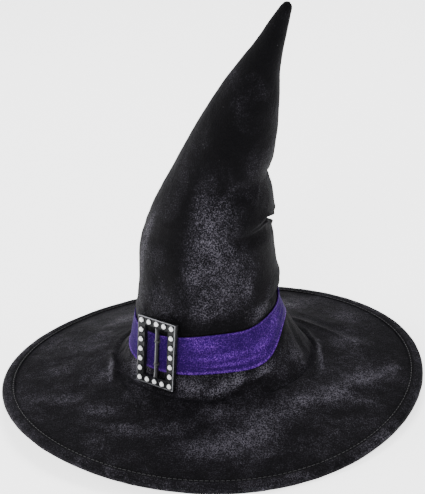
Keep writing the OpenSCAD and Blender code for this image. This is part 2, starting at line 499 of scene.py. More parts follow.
def sheet_of(name: str, columns: int, rows: int,
             place: Layout) -> Piece:
    """Wraps a flat grid of cloth round the hat.

    Args:
        name: The piece's name.
        columns: Faces along the grid's first side, which closes on itself where its ends meet.
        rows: Faces along its second side.
        place: Gives places in millimetres from the two shares, each from 0 to 1.

    Returns:
        The cloth, with its seam and poles merged and its UV map kept.
    """
    clear_selection()
    bpy.ops.mesh.primitive_grid_add(x_subdivisions=columns, y_subdivisions=rows, size=2.0)
    piece = added(name)
    share = np.round((places_of(piece)[:, :2] + 1.0) / 2.0 * (columns, rows)) / (columns, rows)
    set_places(piece, place(share[:, 0], share[:, 1]))
    with editing():
        bpy.ops.mesh.remove_doubles(threshold=MERGE_WITHIN_M)
    bpy.ops.object.shade_smooth()
    return piece


def flip(piece: Piece) -> None:
    """Turns every face of a piece over.

    Args:
        piece: The piece.
    """
    take(piece)
    with editing():
        bpy.ops.mesh.flip_normals()


def face_away_from(piece: Piece, inside: Place) -> None:
    """Turns the faces of a sheet so that they look away from a place, in millimetres.

    Args:
        piece: The sheet.
        inside: The place.
    """
    core = Vector(inside) * MM
    if sum(f.normal.dot(f.center - core) * f.area for f in piece.data.polygons) < 0:
        flip(piece)


def modify(piece: Piece, kind: str, **settings: object) -> None:
    """Adds a modifier with its settings and applies it.

    Args:
        piece: The piece.
        kind: The modifier's type.
        settings: Its settings.
    """
    take(piece)
    modifier = piece.modifiers.new(kind.title(), kind)
    for key, value in settings.items():
        setattr(modifier, key, value)
    bpy.ops.object.modifier_apply(modifier=modifier.name)


def thicken(piece: Piece, thickness: float) -> None:
    """Gives a sheet its thickness, on the side that its faces look away from."""
    modify(piece, "SOLIDIFY", thickness=thickness * MM, offset=-1.0)
    bpy.ops.object.shade_smooth_by_angle(angle=math.radians(RIM_ANGLE))


def bevel(piece: Piece, width: float, segments: int, sharper_than: float) -> None:
    """Rounds the edges of a piece that turn by more than so many degrees."""
    modify(piece, "BEVEL", width=width * MM, segments=segments, limit_method="ANGLE",
           angle_limit=math.radians(sharper_than))


def placed(name: str, data: bpy.types.ID) -> Piece:
    """Puts a mesh, a light or a camera into the scene as an object.

    Args:
        name: The object's name.
        data: The mesh, light or camera.

    Returns:
        The object.
    """
    thing = bpy.data.objects.new(name, data)
    bpy.context.scene.collection.objects.link(thing)
    return thing


def cloth_of(name: str, columns: int, rows: int, place: Layout, inside: Place, thickness: float) -> Piece:
    """Makes a cloth of its real thickness that looks away from a place.

    Args:
        name: The piece's name.
        columns: Faces along the grid's first side.
        rows: Faces along its second side.
        place: Gives places in millimetres from the two shares.
        inside: The place that the good side looks away from, in millimetres.
        thickness: The cloth's thickness.

    Returns:
        The cloth.
    """
    piece = sheet_of(name, columns, rows, place)
    face_away_from(piece, inside)
    thicken(piece, thickness)
    return piece


def repeated(name: str, model: Piece, spots: Sequence[Matrix], keep: bool = False) -> Piece:
    """Copies a model to many spots as one piece.

    Args:
        name: The new piece's name.
        model: The shape to repeat, in metres about its own origin.
        spots: Where each copy goes.
        keep: Whether the model is needed again; otherwise it is removed.

    Returns:
        The new piece.
    """
    mesh = bpy.data.meshes.new(name)
    shape = bmesh.new()
    for spot in spots:
        copy = model.data.copy()
        copy.transform(spot)
        shape.from_mesh(copy)
        bpy.data.meshes.remove(copy)
    shape.to_mesh(mesh)
    shape.free()
    if not keep:
        bpy.data.objects.remove(model)
    return placed(name, mesh)


def joined(name: str, pieces: Sequence[Piece]) -> Piece:
    """Joins several shapes into one piece.

    Args:
        name: The whole's name.
        pieces: The shapes, which are used up.

    Returns:
        The whole.
    """
    clear_selection()
    for piece in pieces:
        piece.select_set(True)
    bpy.context.view_layer.objects.active = pieces[0]
    bpy.ops.object.join()
    pieces[0].name = name
    pieces[0].data.name = name
    return pieces[0]


@contextmanager
def on_faces(piece: Piece, wanted: Callable[[bpy.types.MeshPolygon], bool]) -> Iterator[None]:
    """Opens a piece for editing with some of its faces selected, and closes it afterwards.

    Args:
        piece: The piece.
        wanted: Says of each face whether it is selected.
    """
    take(piece)
    bpy.ops.object.mode_set(mode="EDIT")
    bpy.ops.mesh.select_all(action="DESELECT")
    bpy.ops.mesh.select_mode(type="FACE")
    bpy.ops.object.mode_set(mode="OBJECT")
    for face in piece.data.polygons:
        face.select = wanted(face)
    bpy.ops.object.mode_set(mode="EDIT")
    yield
    bpy.ops.object.mode_set(mode="OBJECT")


def stitch_model(length: float, radius: float) -> Piece:
    """One stitch lying along X, whose ends dip into the cloth.

    Args:
        length: Its length.
        radius: The thread's radius.

    Returns:
        The stitch, in metres about the origin.
    """
    clear_selection()
    bpy.ops.mesh.primitive_cylinder_add(vertices=7, radius=radius * MM, depth=length * MM,
                                        rotation=(0, math.pi / 2, 0))
    stitch = added("stitch")
    with editing():
        for side in (-1.0, 1.0):
            bpy.ops.mesh.select_all(action="SELECT")
            bpy.ops.mesh.bisect(plane_co=(side * length * MM / 4, 0, 0), plane_no=(1, 0, 0))
    points = places_of(stitch) / MM
    share = np.abs(points[:, 0]) / (length / 2)
    points[:, 1:] *= (1.0 - 0.45 * share**3)[:, None]
    points[:, 2] -= 1.1 * radius * share**2
    set_places(stitch, points)
    bpy.ops.object.shade_smooth()
    return stitch


def facing(at: Sequence[float], along: Vector, up: Vector) -> Matrix:
    """A spot whose X runs along one direction and whose Z is nearly another, in millimetres.

    Args:
        at: The place.
        along: The way of X.
        up: Nearly the way of Z.

    Returns:
        The spot.
    """
    x = along.normalized()
    y = up.cross(x).normalized()
    turn = Matrix((x, y, x.cross(y))).transposed().to_4x4()
    return Matrix.Translation(Vector(at) * MM) @ turn


# ---- finishes


class Tree:
    """A shader tree being put together."""

    def __init__(self, tree: bpy.types.NodeTree) -> None:
        """Starts on an empty tree."""
        self.tree = tree
        tree.nodes.clear()

    def add(self, kind: str, feeds: dict[str | int, object] | None = None,
            **settings: object) -> bpy.types.Node:
        """Adds a node.

        Args:
            kind: The node's type, without its ShaderNode prefix.
            feeds: Values or sockets for its inputs.
            settings: Its own properties.

        Returns:
            The node.
        """
        node = self.tree.nodes.new(kind if kind.startswith("Node") else "ShaderNode" + kind)
        for key, value in settings.items():
            setattr(node, key, value)
        for key, value in (feeds or {}).items():
            if isinstance(value, Socket):
                self.tree.links.new(value, node.inputs[key])
            else:
                node.inputs[key].default_value = value
        return node

    def grain(self, at: Socket, size: float, detail: float = 2.0, **feeds: float) -> Socket:
        """Noise whose lumps are about a size across, in millimetres."""
        node = self.add("TexNoise", {"Vector": at, "Scale": 1.0 / (size * MM), "Detail": detail, **feeds})
        return node.outputs["Fac"]

    def sum(self, operation: str, a: Socket | float, b: Socket | float) -> Socket:
        """Works out one sum on two values."""
        return self.add("Math", {0: a, 1: b}, operation=operation).outputs[0]

    def times(self, a: Socket | float, b: Socket | float) -> Socket:
        """Multiplies two values."""
        return self.sum("MULTIPLY", a, b)

    def plus(self, a: Socket | float, b: Socket | float) -> Socket:
        """Adds two values."""
        return self.sum("ADD", a, b)

    def spread(self, value: Socket, low: float, high: float, to_low: float = 0.0,
               to_high: float = 1.0) -> Socket:
        """Stretches a stretch of values over another, and holds it there."""
        feeds = {"Value": value, "From Min": low, "From Max": high, "To Min": to_low, "To Max": to_high}
        return self.add("MapRange", feeds, interpolation_type="SMOOTHSTEP").outputs["Result"]

    def blend(self, share: Socket | float, a: Socket | Colour, b: Socket | Colour) -> Socket:
        """Mixes two colours.

        Args:
            share: How much of the second shows.
            a: The first colour.
            b: The second colour.

        Returns:
            The mix.
        """
        feeds = {0: share, 6: a if isinstance(a, Socket) else (*a, 1.0),
                 7: b if isinstance(b, Socket) else (*b, 1.0)}
        return self.add("Mix", feeds, data_type="RGBA").outputs[2]

    def stretched(self, at: Socket, scale: Place, turn: float = 0.0) -> Socket:
        """Stretches coordinates, and turns them in degrees about Z."""
        feeds = {"Vector": at, "Scale": scale, "Rotation": (0.0, 0.0, math.radians(turn))}
        return self.add("Mapping", feeds).outputs[0]


def shared_effect(name: str, takes: dict[str, float], gives: Sequence[str],
                  build: Callable[[Tree, dict[str, Socket]], dict[str, Socket]]) -> bpy.types.NodeTree:
    """Makes an effect that several finishes use, once.

    Args:
        name: The effect's name.
        takes: Its number inputs with their usual values; it always takes Coordinates too.
        gives: The names of the values that it puts out.
        build: Draws it, from its inputs to its outputs.

    Returns:
        The node group.
    """
    found = bpy.data.node_groups.get(name)
    if found:
        return found
    group = bpy.data.node_groups.new(name, "ShaderNodeTree")
    group.interface.new_socket(name="Coordinates", in_out="INPUT", socket_type="NodeSocketVector")
    for title, usual in takes.items():
        socket = group.interface.new_socket(name=title, in_out="INPUT", socket_type="NodeSocketFloat")
        socket.default_value = usual
    for title in gives:
        group.interface.new_socket(name=title, in_out="OUTPUT", socket_type="NodeSocketFloat")
    tree = Tree(group)
    entry = tree.add("NodeGroupInput")
    made = build(tree, {socket.name: socket for socket in entry.outputs if socket.name})
    tree.add("NodeGroupOutput", made)
    return group


def painted_sheen_and_pile() -> bpy.types.NodeTree:
    """Velvet's painted sheen and painted flecks of highlight, and how its pile stands.

    Returns:
        The node group.
    """

    def build(tree: Tree, take: dict[str, Socket]) -> dict[str, Socket]:
        """Breaks the painted sheen up with strokes, and everything up with tufts and specks, which also paint
        the flecks of highlight.

        Args:
            tree: The effect's tree.
            take: Its inputs by name.

        Returns:
            Its outputs by name.
        """
        at = take["Coordinates"]
        scaled = tree.add("VectorMath", {0: at, "Scale": take["Coarseness"]}, operation="SCALE").outputs[0]
        chance = tree.spread(tree.grain(scaled, 40.0, 2.5, Distortion=0.8), 0.42, 0.66)
        stroke = tree.spread(tree.grain(scaled, 11.0, 4.0, Distortion=1.0), 0.32, 0.68)
        tuft = tree.spread(tree.grain(at, 1.3, 2.0), 0.40, 0.66)
        speck = tree.spread(tree.grain(at, 0.75, 0.0), 0.50, 0.72)
        # Painted sheen: the given patches and random patches, broken up by strokes, over a least amount laid
        # everywhere.
        flat = tree.plus(take["Brushed"], tree.times(chance, take["Wild"]))
        broken = tree.plus(tree.times(stroke, 0.5), 0.5)
        painted_sheen = tree.plus(tree.times(flat, broken), take["Least Shine"])
        glints = tree.times(speck, take["Sparkle"])
        flecks = tree.plus(tree.times(tuft, 0.7), glints)
        # Painted highlight: flecks of light where the sheen is painted.
        shine = tree.times(painted_sheen, flecks)
        height = tree.plus(tree.times(stroke, 0.5), tree.times(tuft, 0.35))
        return {"Shine": shine, "Painted Sheen": painted_sheen, "Height": height}

    takes = {"Brushed": 0.0, "Coarseness": 1.0, "Sparkle": 0.8, "Least Shine": 0.1, "Wild": 0.3}
    return shared_effect("Painted sheen and pile", takes, ("Shine", "Painted Sheen", "Height"), build)


def lint() -> bpy.types.NodeTree:
    """Stray dust and lint that settle on cloth: a mask of tiny specks.

    Returns:
        The node group.
    """

    def build(tree: Tree, take: dict[str, Socket]) -> dict[str, Socket]:
        """Keeps only the middles of sparse cells, thinned out by a broad noise.

        Args:
            tree: The effect's tree.
            take: Its inputs by name.

        Returns:
            Its outputs by name.
        """
        at = take["Coordinates"]
        cell = tree.add("TexVoronoi", {"Vector": at, "Scale": 1.0 / (7.0 * MM)}).outputs["Distance"]
        speck = tree.spread(cell, 0.10, 0.04)
        where = tree.spread(tree.grain(at, 25.0), 0.56, 0.62)
        mask = tree.times(tree.times(speck, where), take["Amount"])
        return {"Mask": mask}

    return shared_effect("Lint", {"Amount": 0.5}, ("Mask",), build)


def weave() -> bpy.types.NodeTree:
    """Threads crossing at right angles, over coordinates in threads.

    Returns:
        The node group.
    """

    def build(tree: Tree, take: dict[str, Socket]) -> dict[str, Socket]:
        """Crosses two sets of bands, each uneven in its own way.

        Args:
            tree: The effect's tree.
            take: Its inputs by name.

        Returns:
            Its outputs by name.
        """
        at = take["Coordinates"]
        bands = []
        for direction in ("X", "Y"):
            feeds = {"Vector": at, "Scale": 0.32, "Distortion": 0.5, "Detail": 1.0, "Detail Scale": 0.6}
            band = tree.add("TexWave", feeds, wave_type="BANDS", bands_direction=direction)
            bands.append(band.outputs["Fac"])
        height = tree.sum("MAXIMUM", bands[0], tree.times(bands[1], take["Crossing"]))
        uneven = tree.add("TexNoise", {"Vector": at, "Scale": 0.09, "Detail": 3.0}).outputs["Fac"]
        return {"Height": height, "Uneven": uneven}

    return shared_effect("Weave", {"Crossing": 0.9}, ("Height", "Uneven"), build)


def fine_scratches() -> bpy.types.NodeTree:
    """Handling marks on hard glossy parts: a mask of short thin lines and dull patches.

    Returns:
        The node group.
    """

    def build(tree: Tree, take: dict[str, Socket]) -> dict[str, Socket]:
        """Stretches a noise into lines and dulls broad patches.

        Args:
            tree: The effect's tree.
            take: Its inputs by name.

        Returns:
            Its outputs by name.
        """
        at = take["Coordinates"]
        line = tree.grain(tree.stretched(at, (1.0, 9.0, 0.35), 35.0), 3.0, 3.0)
        lines = tree.times(tree.spread(line, 0.62, 0.68), take["Amount"])
        return {"Lines": lines, "Dull": tree.spread(tree.grain(at, 9.0, 4.0), 0.4, 0.7)}

    return shared_effect("Fine scratches", {"Amount": 0.6}, ("Lines", "Dull"), build)


def twist() -> bpy.types.NodeTree:
    """The ply of sewing thread, as slanting bands.

    Returns:
        The node group.
    """

    def build(tree: Tree, take: dict[str, Socket]) -> dict[str, Socket]:
        """Slants bands across the thread and frays them a little.

        Args:
            tree: The effect's tree.
            take: Its inputs by name.

        Returns:
            Its outputs by name.
        """
        slanted = tree.stretched(take["Coordinates"], (1.0, 1.0, 1.0), 38.0)
        feeds = {"Vector": slanted, "Scale": 900.0, "Distortion": 1.5, "Detail": 1.0}
        bands = tree.add("TexWave", feeds, wave_type="BANDS", bands_direction="DIAGONAL")
        return {"Height": bands.outputs["Fac"]}

    return shared_effect("Twist", {}, ("Height",), build)


def place_effect(tree: Tree, group: bpy.types.NodeTree, at: Socket,
                 **values: float | Socket) -> dict[str, Socket]:
    """Puts a shared effect into a finish, and returns what it gives by name.

    Args:
        tree: The finish's tree.
        group: The effect.
        at: Its coordinates.
        values: Its other inputs, in lower case with underscores.

    Returns:
        Its outputs by name.
    """
    feeds = {key.replace("_", " ").title(): value for key, value in values.items()}
    node = tree.add("Group", {}, node_tree=group)
    for key, value in {"Coordinates": at, **feeds}.items():
        if isinstance(value, Socket):
            tree.tree.links.new(value, node.inputs[key])
        else:
            node.inputs[key].default_value = value
    return {socket.name: socket for socket in node.outputs}


class Finish:
    """A finish: a material made once and shared by the pieces that wear it."""

    name: str

    def material(self) -> bpy.types.Material:
        """The material, made on first use.

        Returns:
            The material.
        """
        found = bpy.data.materials.get(self.name)
        if found:
            return found
        made = bpy.data.materials.new(self.name)
        made.use_nodes = True
        tree = Tree(made.node_tree)
        shader = self.draw(tree)
        tree.add("OutputMaterial", {"Surface": shader})
        return made

    def draw(self, tree: Tree) -> Socket:
        """Draws the finish and returns its shader."""
        raise NotImplementedError

    def dress(self, piece: Piece) -> None:
        """Puts the finish on a piece in place of any other."""
        piece.data.materials.clear()
        piece.data.materials.append(self.material())


def note(piece: Piece, finish: Finish, *solids: str) -> None:
    """Dresses a finished piece, and reports it.

    Args:
        piece: The piece.
        finish: Its finish.
        solids: The solids of the frame that it stands for.
    """
    finish.dress(piece)
    if solids:
        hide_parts(*solids)
    log.info("%s: %d faces", piece.name, len(piece.data.polygons))


def seat(piece: Piece, body: Body, finish: Finish, *solids: str) -> None:
    """Makes a finished piece ride on a body, dresses it, and hides the solids that it stands for."""
    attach(piece, body.value)
    note(piece, finish, *solids)


def on_object(tree: Tree) -> Socket:
    """Coordinates in the hat's own frame."""
    return tree.add("TexCoord").outputs["Object"]


def on_cloth(tree: Tree, across: float, along: float) -> Socket:
    """Coordinates of a piece's UV map, in threads: so many across it and along it."""
    uv = tree.add("TexCoord").outputs["UV"]
    return tree.stretched(uv, (across, along, 1.0))


def bumped(tree: Tree, height: Socket, depth: float, strength: float = 1.0) -> Socket:
    """A normal from a height, whose full rise is a depth in millimetres."""
    feeds = {"Height": height, "Distance": depth * MM, "Strength": strength}
    return tree.add("Bump", feeds).outputs["Normal"]


@dataclass(frozen=True)
class Velvet(Finish):
    """Crushed velvet: dark, with painted sheen and painted flecks of highlight in its colour, and painted
    shade where the sheen is taken away.
    """

    name: str
    deep: Colour
    # The colours of the painted sheen and of the painted flecks of highlight.
    painted_sheen: Colour
    shine: Colour
    sheen: Colour
    # The least painted sheen, laid everywhere.
    least_shine: float = 0.10
    wild: float = 0.22
    sparkle: float = 0.8
    coarseness: float = 1.0
    pile_depth: float = 0.45
    sheen_weight: float = 0.02
    specular: float = 0.05
    lint_amount: float = 0.35

    def draw(self, tree: Tree) -> Socket:
        """Paints sheen and flecks of highlight into the pile's colour, roughens and tufts it, with a little
        lint on top.

        Args:
            tree: The finish's empty tree.

        Returns:
            The shader's output.
        """
        at = on_object(tree)
        hand = tree.add("Attribute", attribute_name="painted_sheen").outputs["Fac"]
        pile = place_effect(tree, painted_sheen_and_pile(), at, brushed=hand, coarseness=self.coarseness,
                            sparkle=self.sparkle, least_shine=self.least_shine, wild=self.wild)
        dust = place_effect(tree, lint(), at, amount=self.lint_amount)["Mask"]
        # Painted sheen, then painted flecks of highlight, mixed into the base colour.
        base = tree.blend(tree.spread(pile["Painted Sheen"], 0.0, 0.9), self.deep, self.painted_sheen)
        base = tree.blend(tree.spread(pile["Shine"], 0.04, 1.1), base, self.shine)
        base = tree.blend(dust, base, (0.16, 0.155, 0.165))
        feeds = {"Base Color": base, "Roughness": tree.spread(pile["Shine"], 0.0, 1.2, 0.75, 0.42),
                 "Normal": bumped(tree, pile["Height"], self.pile_depth),
                 "Specular IOR Level": self.specular, "Sheen Weight": self.sheen_weight,
                 "Sheen Roughness": 0.35, "Sheen Tint": (*self.sheen, 1.0)}
        return tree.add("BsdfPrincipled", feeds).outputs[0]


@dataclass(frozen=True)
class Woven(Finish):
    """Plain woven cloth or ribbon, over its own UV map."""

    name: str
    colour: Colour
    pale: Colour
    across: float
    along: float
    crossing: float = 0.9
    roughness: float = 0.6
    sheen_weight: float = 0.2
    depth: float = 0.12

    def draw(self, tree: Tree) -> Socket:
        """Shades the threads and dulls the worn stretches.

        Args:
            tree: The finish's empty tree.

        Returns:
            The shader's output.
        """
        cloth = place_effect(tree, weave(), on_cloth(tree, self.across, self.along), crossing=self.crossing)
        worn = tree.spread(cloth["Uneven"], 0.35, 0.7)
        thread = tree.times(cloth["Height"], tree.plus(worn, 0.4))
        dust = place_effect(tree, lint(), on_object(tree), amount=0.4)["Mask"]
        base = tree.blend(dust, tree.blend(thread, self.colour, self.pale), (0.4, 0.4, 0.4))
        rough = tree.spread(worn, 0.0, 1.0, self.roughness + 0.12, self.roughness - 0.1)
        feeds = {"Base Color": base, "Roughness": rough, "Sheen Weight": self.sheen_weight,
                 "Normal": bumped(tree, cloth["Height"], self.depth)}
        return tree.add("BsdfPrincipled", feeds).outputs[0]


@dataclass(frozen=True)
class Matted(Finish):
    """Fibre or foam without a weave: interfacing, wadding and the brim's core."""

    name: str
    colour: Colour
    pale: Colour
    lump: float
    depth: float

    def draw(self, tree: Tree) -> Socket:
        """Mixes lumps with fine fibres or pores.

        Args:
            tree: The finish's empty tree.

        Returns:
            The shader's output.
        """
        at = on_object(tree)
        lumps = tree.grain(at, self.lump, 4.0, Distortion=0.6)
        fibres = tree.grain(tree.stretched(at, (1.0, 5.0, 2.0), 25.0), self.lump / 3.0, 4.0)
        height = tree.plus(lumps, tree.times(fibres, 0.6))
        base = tree.blend(tree.spread(height, 0.5, 1.1), self.colour, self.pale)
        feeds = {"Base Color": base, "Roughness": tree.spread(lumps, 0.3, 0.7, 0.95, 0.8),
                 "Normal": bumped(tree, height, self.depth), "Sheen Weight": 0.15}
        return tree.add("BsdfPrincipled", feeds).outputs[0]


@dataclass(frozen=True)
class Thread(Finish):
    """Twisted sewing thread."""

    name: str
    colour: Colour
    pale: Colour

    def draw(self, tree: Tree) -> Socket:
        """Shades each turn of the ply.

        Args:
            tree: The finish's empty tree.

        Returns:
            The shader's output.
        """
        at = on_object(tree)
        ply = place_effect(tree, twist(), at)["Height"]
        fuzz = tree.grain(at, 0.6, 2.0)
        base = tree.blend(tree.times(ply, fuzz), self.colour, self.pale)
        feeds = {"Base Color": base, "Roughness": tree.spread(fuzz, 0.3, 0.7, 0.65, 0.45),
                 "Normal": bumped(tree, ply, 0.08), "Sheen Weight": 0.2}
        return tree.add("BsdfPrincipled", feeds).outputs[0]


@dataclass(frozen=True)
class Polished(Finish):
    """Hard moulded plastic or drawn metal, lightly handled."""

    name: str
    colour: Colour
    worn: Colour
    metallic: float
    roughness: float
    coat: float = 0.0
    specular: float = 0.5
    # The colour of the painted highlight lines.
    edge: Colour = (0.30, 0.30, 0.32)
    scratches: float = 0.6

    def draw(self, tree: Tree) -> Socket:
        """Scratches the gloss, dulls the patches that fingers touch and paints highlight lines where the
        piece marks them.

        Args:
            tree: The finish's empty tree.

        Returns:
            The shader's output.
        """
        at = on_object(tree)
        marks = place_effect(tree, fine_scratches(), at, amount=self.scratches)
        # Painted highlight lines: where a piece marks them, its colour turns to the edge colour.
        painted_highlight_line = tree.add("Attribute", attribute_name="painted_highlight_line").outputs["Fac"]
        base = tree.blend(painted_highlight_line, tree.blend(marks["Lines"], self.colour, self.worn), self.edge)
        rough = tree.spread(marks["Dull"], 0.0, 1.0, self.roughness, self.roughness + 0.14)
        rough = tree.plus(rough, tree.times(marks["Lines"], 0.15))
        feeds = {"Base Color": base, "Roughness": rough,
                 "Normal": bumped(tree, marks["Lines"], 0.02), "Metallic": self.metallic,
                 "Coat Weight": self.coat, "Coat Roughness": 0.06, "Specular IOR Level": self.specular}
        return tree.add("BsdfPrincipled", feeds).outputs[0]


@dataclass(frozen=True)
class Crystal(Finish):
    """Foil-backed cut glass, bright from every side through a painted glow."""

    name: str
    colour: Colour
    glint: Colour
    # Strength of the painted glow.
    painted_glow: float = 1.3

    def draw(self, tree: Tree) -> Socket:
        """Paints glints that vary from facet to facet, and a glow.

        Args:
            tree: The finish's empty tree.

        Returns:
            The shader's output.
        """
        at = on_object(tree)
        cells = tree.add("TexVoronoi", {"Vector": at, "Scale": 1.0 / (1.3 * MM)}).outputs["Color"]
        tone = tree.add("SeparateColor", {0: cells}).outputs[0]
        base = tree.blend(tone, self.colour, self.glint)
        # A painted glow: the stones give off light of their own.
        feeds = {"Base Color": base, "Roughness": tree.spread(tone, 0.0, 1.0, 0.06, 0.2),
                 "Emission Color": (1.0, 1.0, 1.0, 1.0), "Emission Strength": self.painted_glow,
                 "Metallic": 0.05, "Coat Weight": 1.0, "Coat Roughness": 0.02, "IOR": 1.7}
        return tree.add("BsdfPrincipled", feeds).outputs[0]


BLACK_VELVET = Velvet("black velvet", deep=(0.0014, 0.0013, 0.0017), painted_sheen=(0.0050, 0.0046, 0.0062),
                      shine=(0.086, 0.080, 0.099), sheen=(0.55, 0.52, 0.64))
PURPLE_VELVET = Velvet("purple velvet", deep=(0.0075, 0.0008, 0.0370), painted_sheen=(0.020, 0.0020, 0.092),
                       shine=(0.160, 0.046, 0.350), sheen=(0.62, 0.45, 0.95), least_shine=0.30, wild=0.12,
                       coarseness=4.0, pile_depth=0.30, lint_amount=0.2)
LINING = Woven("black lining", (0.007, 0.007, 0.009), (0.028, 0.028, 0.034), across=900, along=420)
SWEAT_RIBBON = Woven("sweatband ribbon", (0.006, 0.006, 0.007), (0.030, 0.030, 0.034), across=760, along=26,
                     crossing=0.45, depth=0.2)
LABEL_SATIN = Woven("white satin", (0.62, 0.62, 0.60), (0.80, 0.80, 0.78), across=70, along=76, crossing=0.5,
                    roughness=0.4)
INTERFACING = Matted("interfacing", (0.10, 0.10, 0.105), (0.22, 0.22, 0.23), lump=2.5, depth=0.25)
WADDING = Matted("fibre wadding", (0.62, 0.61, 0.58), (0.86, 0.85, 0.82), lump=6.0, depth=1.5)
FOAM = Matted("brim foam", (0.030, 0.030, 0.033), (0.080, 0.080, 0.085), lump=1.0, depth=0.3)
BLACK_THREAD = Thread("black thread", (0.004, 0.004, 0.005), (0.030, 0.029, 0.034))
STEEL_WIRE = Polished("steel wire", (0.42, 0.42, 0.43), (0.60, 0.60, 0.60), metallic=1.0, roughness=0.28)
BRASS_CRIMP = Polished("brass crimp", (0.58, 0.40, 0.14), (0.75, 0.62, 0.35), metallic=1.0, roughness=0.25)
BUCKLE_PLASTIC = Polished("buckle black", (0.007, 0.007, 0.008), (0.06, 0.06, 0.065), metallic=0.0,
                          roughness=0.20, coat=0.04, specular=0.12)
RHINESTONE = Crystal("rhinestone", (0.84, 0.87, 0.92), (1.0, 1.0, 1.0))


# ---- the crown


def on_crown(form: CrownForm) -> Spread:
    """Lays the crown's cloth flat near a direction: millimetres round it, and height.

    Args:
        form: The crown's form.

    Returns:
        The rule that lays it flat.
    """

    def spread(angle: Array, z: Array, middle: float) -> Array:
        """Rolls the cloth out from one direction."""
        gap = turn_between(angle, middle)
        return np.column_stack([np.radians(gap) * form.radius(z, angle), z])

    return spread


def on_plane(angle: Array, radius: Array, middle: float) -> Array:
    """Lays the brim's cloth flat: its plan."""
    return np.column_stack([radius * np.cos(np.radians(angle)), radius * np.sin(np.radians(angle))])


@dataclass
class BandLine:
    """Where the band runs round the crown, read from its solid."""

    form: CrownForm
    low: Array = field(init=False)
    high: Array = field(init=False)

    def __post_init__(self) -> None:
        """Reads the band's lower and upper edges in every direction."""
        points = corners("hat_band")
        slot = np.round(self.form.direction(points) * self.form.sides / FULL_TURN).astype(int)
        slot = slot % self.form.sides
        spokes = [points[slot == k, 2] for k in range(self.form.sides)]
        self.low = np.array([spoke.min() for spoke in spokes])
        self.high = np.array([spoke.max() for spoke in spokes])

    def height(self, share: Array, angle: Array) -> Array:
        """Height at a share of the band's width above its lower edge."""
        low, high = around(self.low, angle), around(self.high, angle)
        return low + share * (high - low)

    def share(self, z: Array, angle: Array) -> Array:
        """The share of the band's width that a height lies at: below 0 or above 1 is off the band."""
        low, high = around(self.low, angle), around(self.high, angle)
        return (z - low) / (high - low)


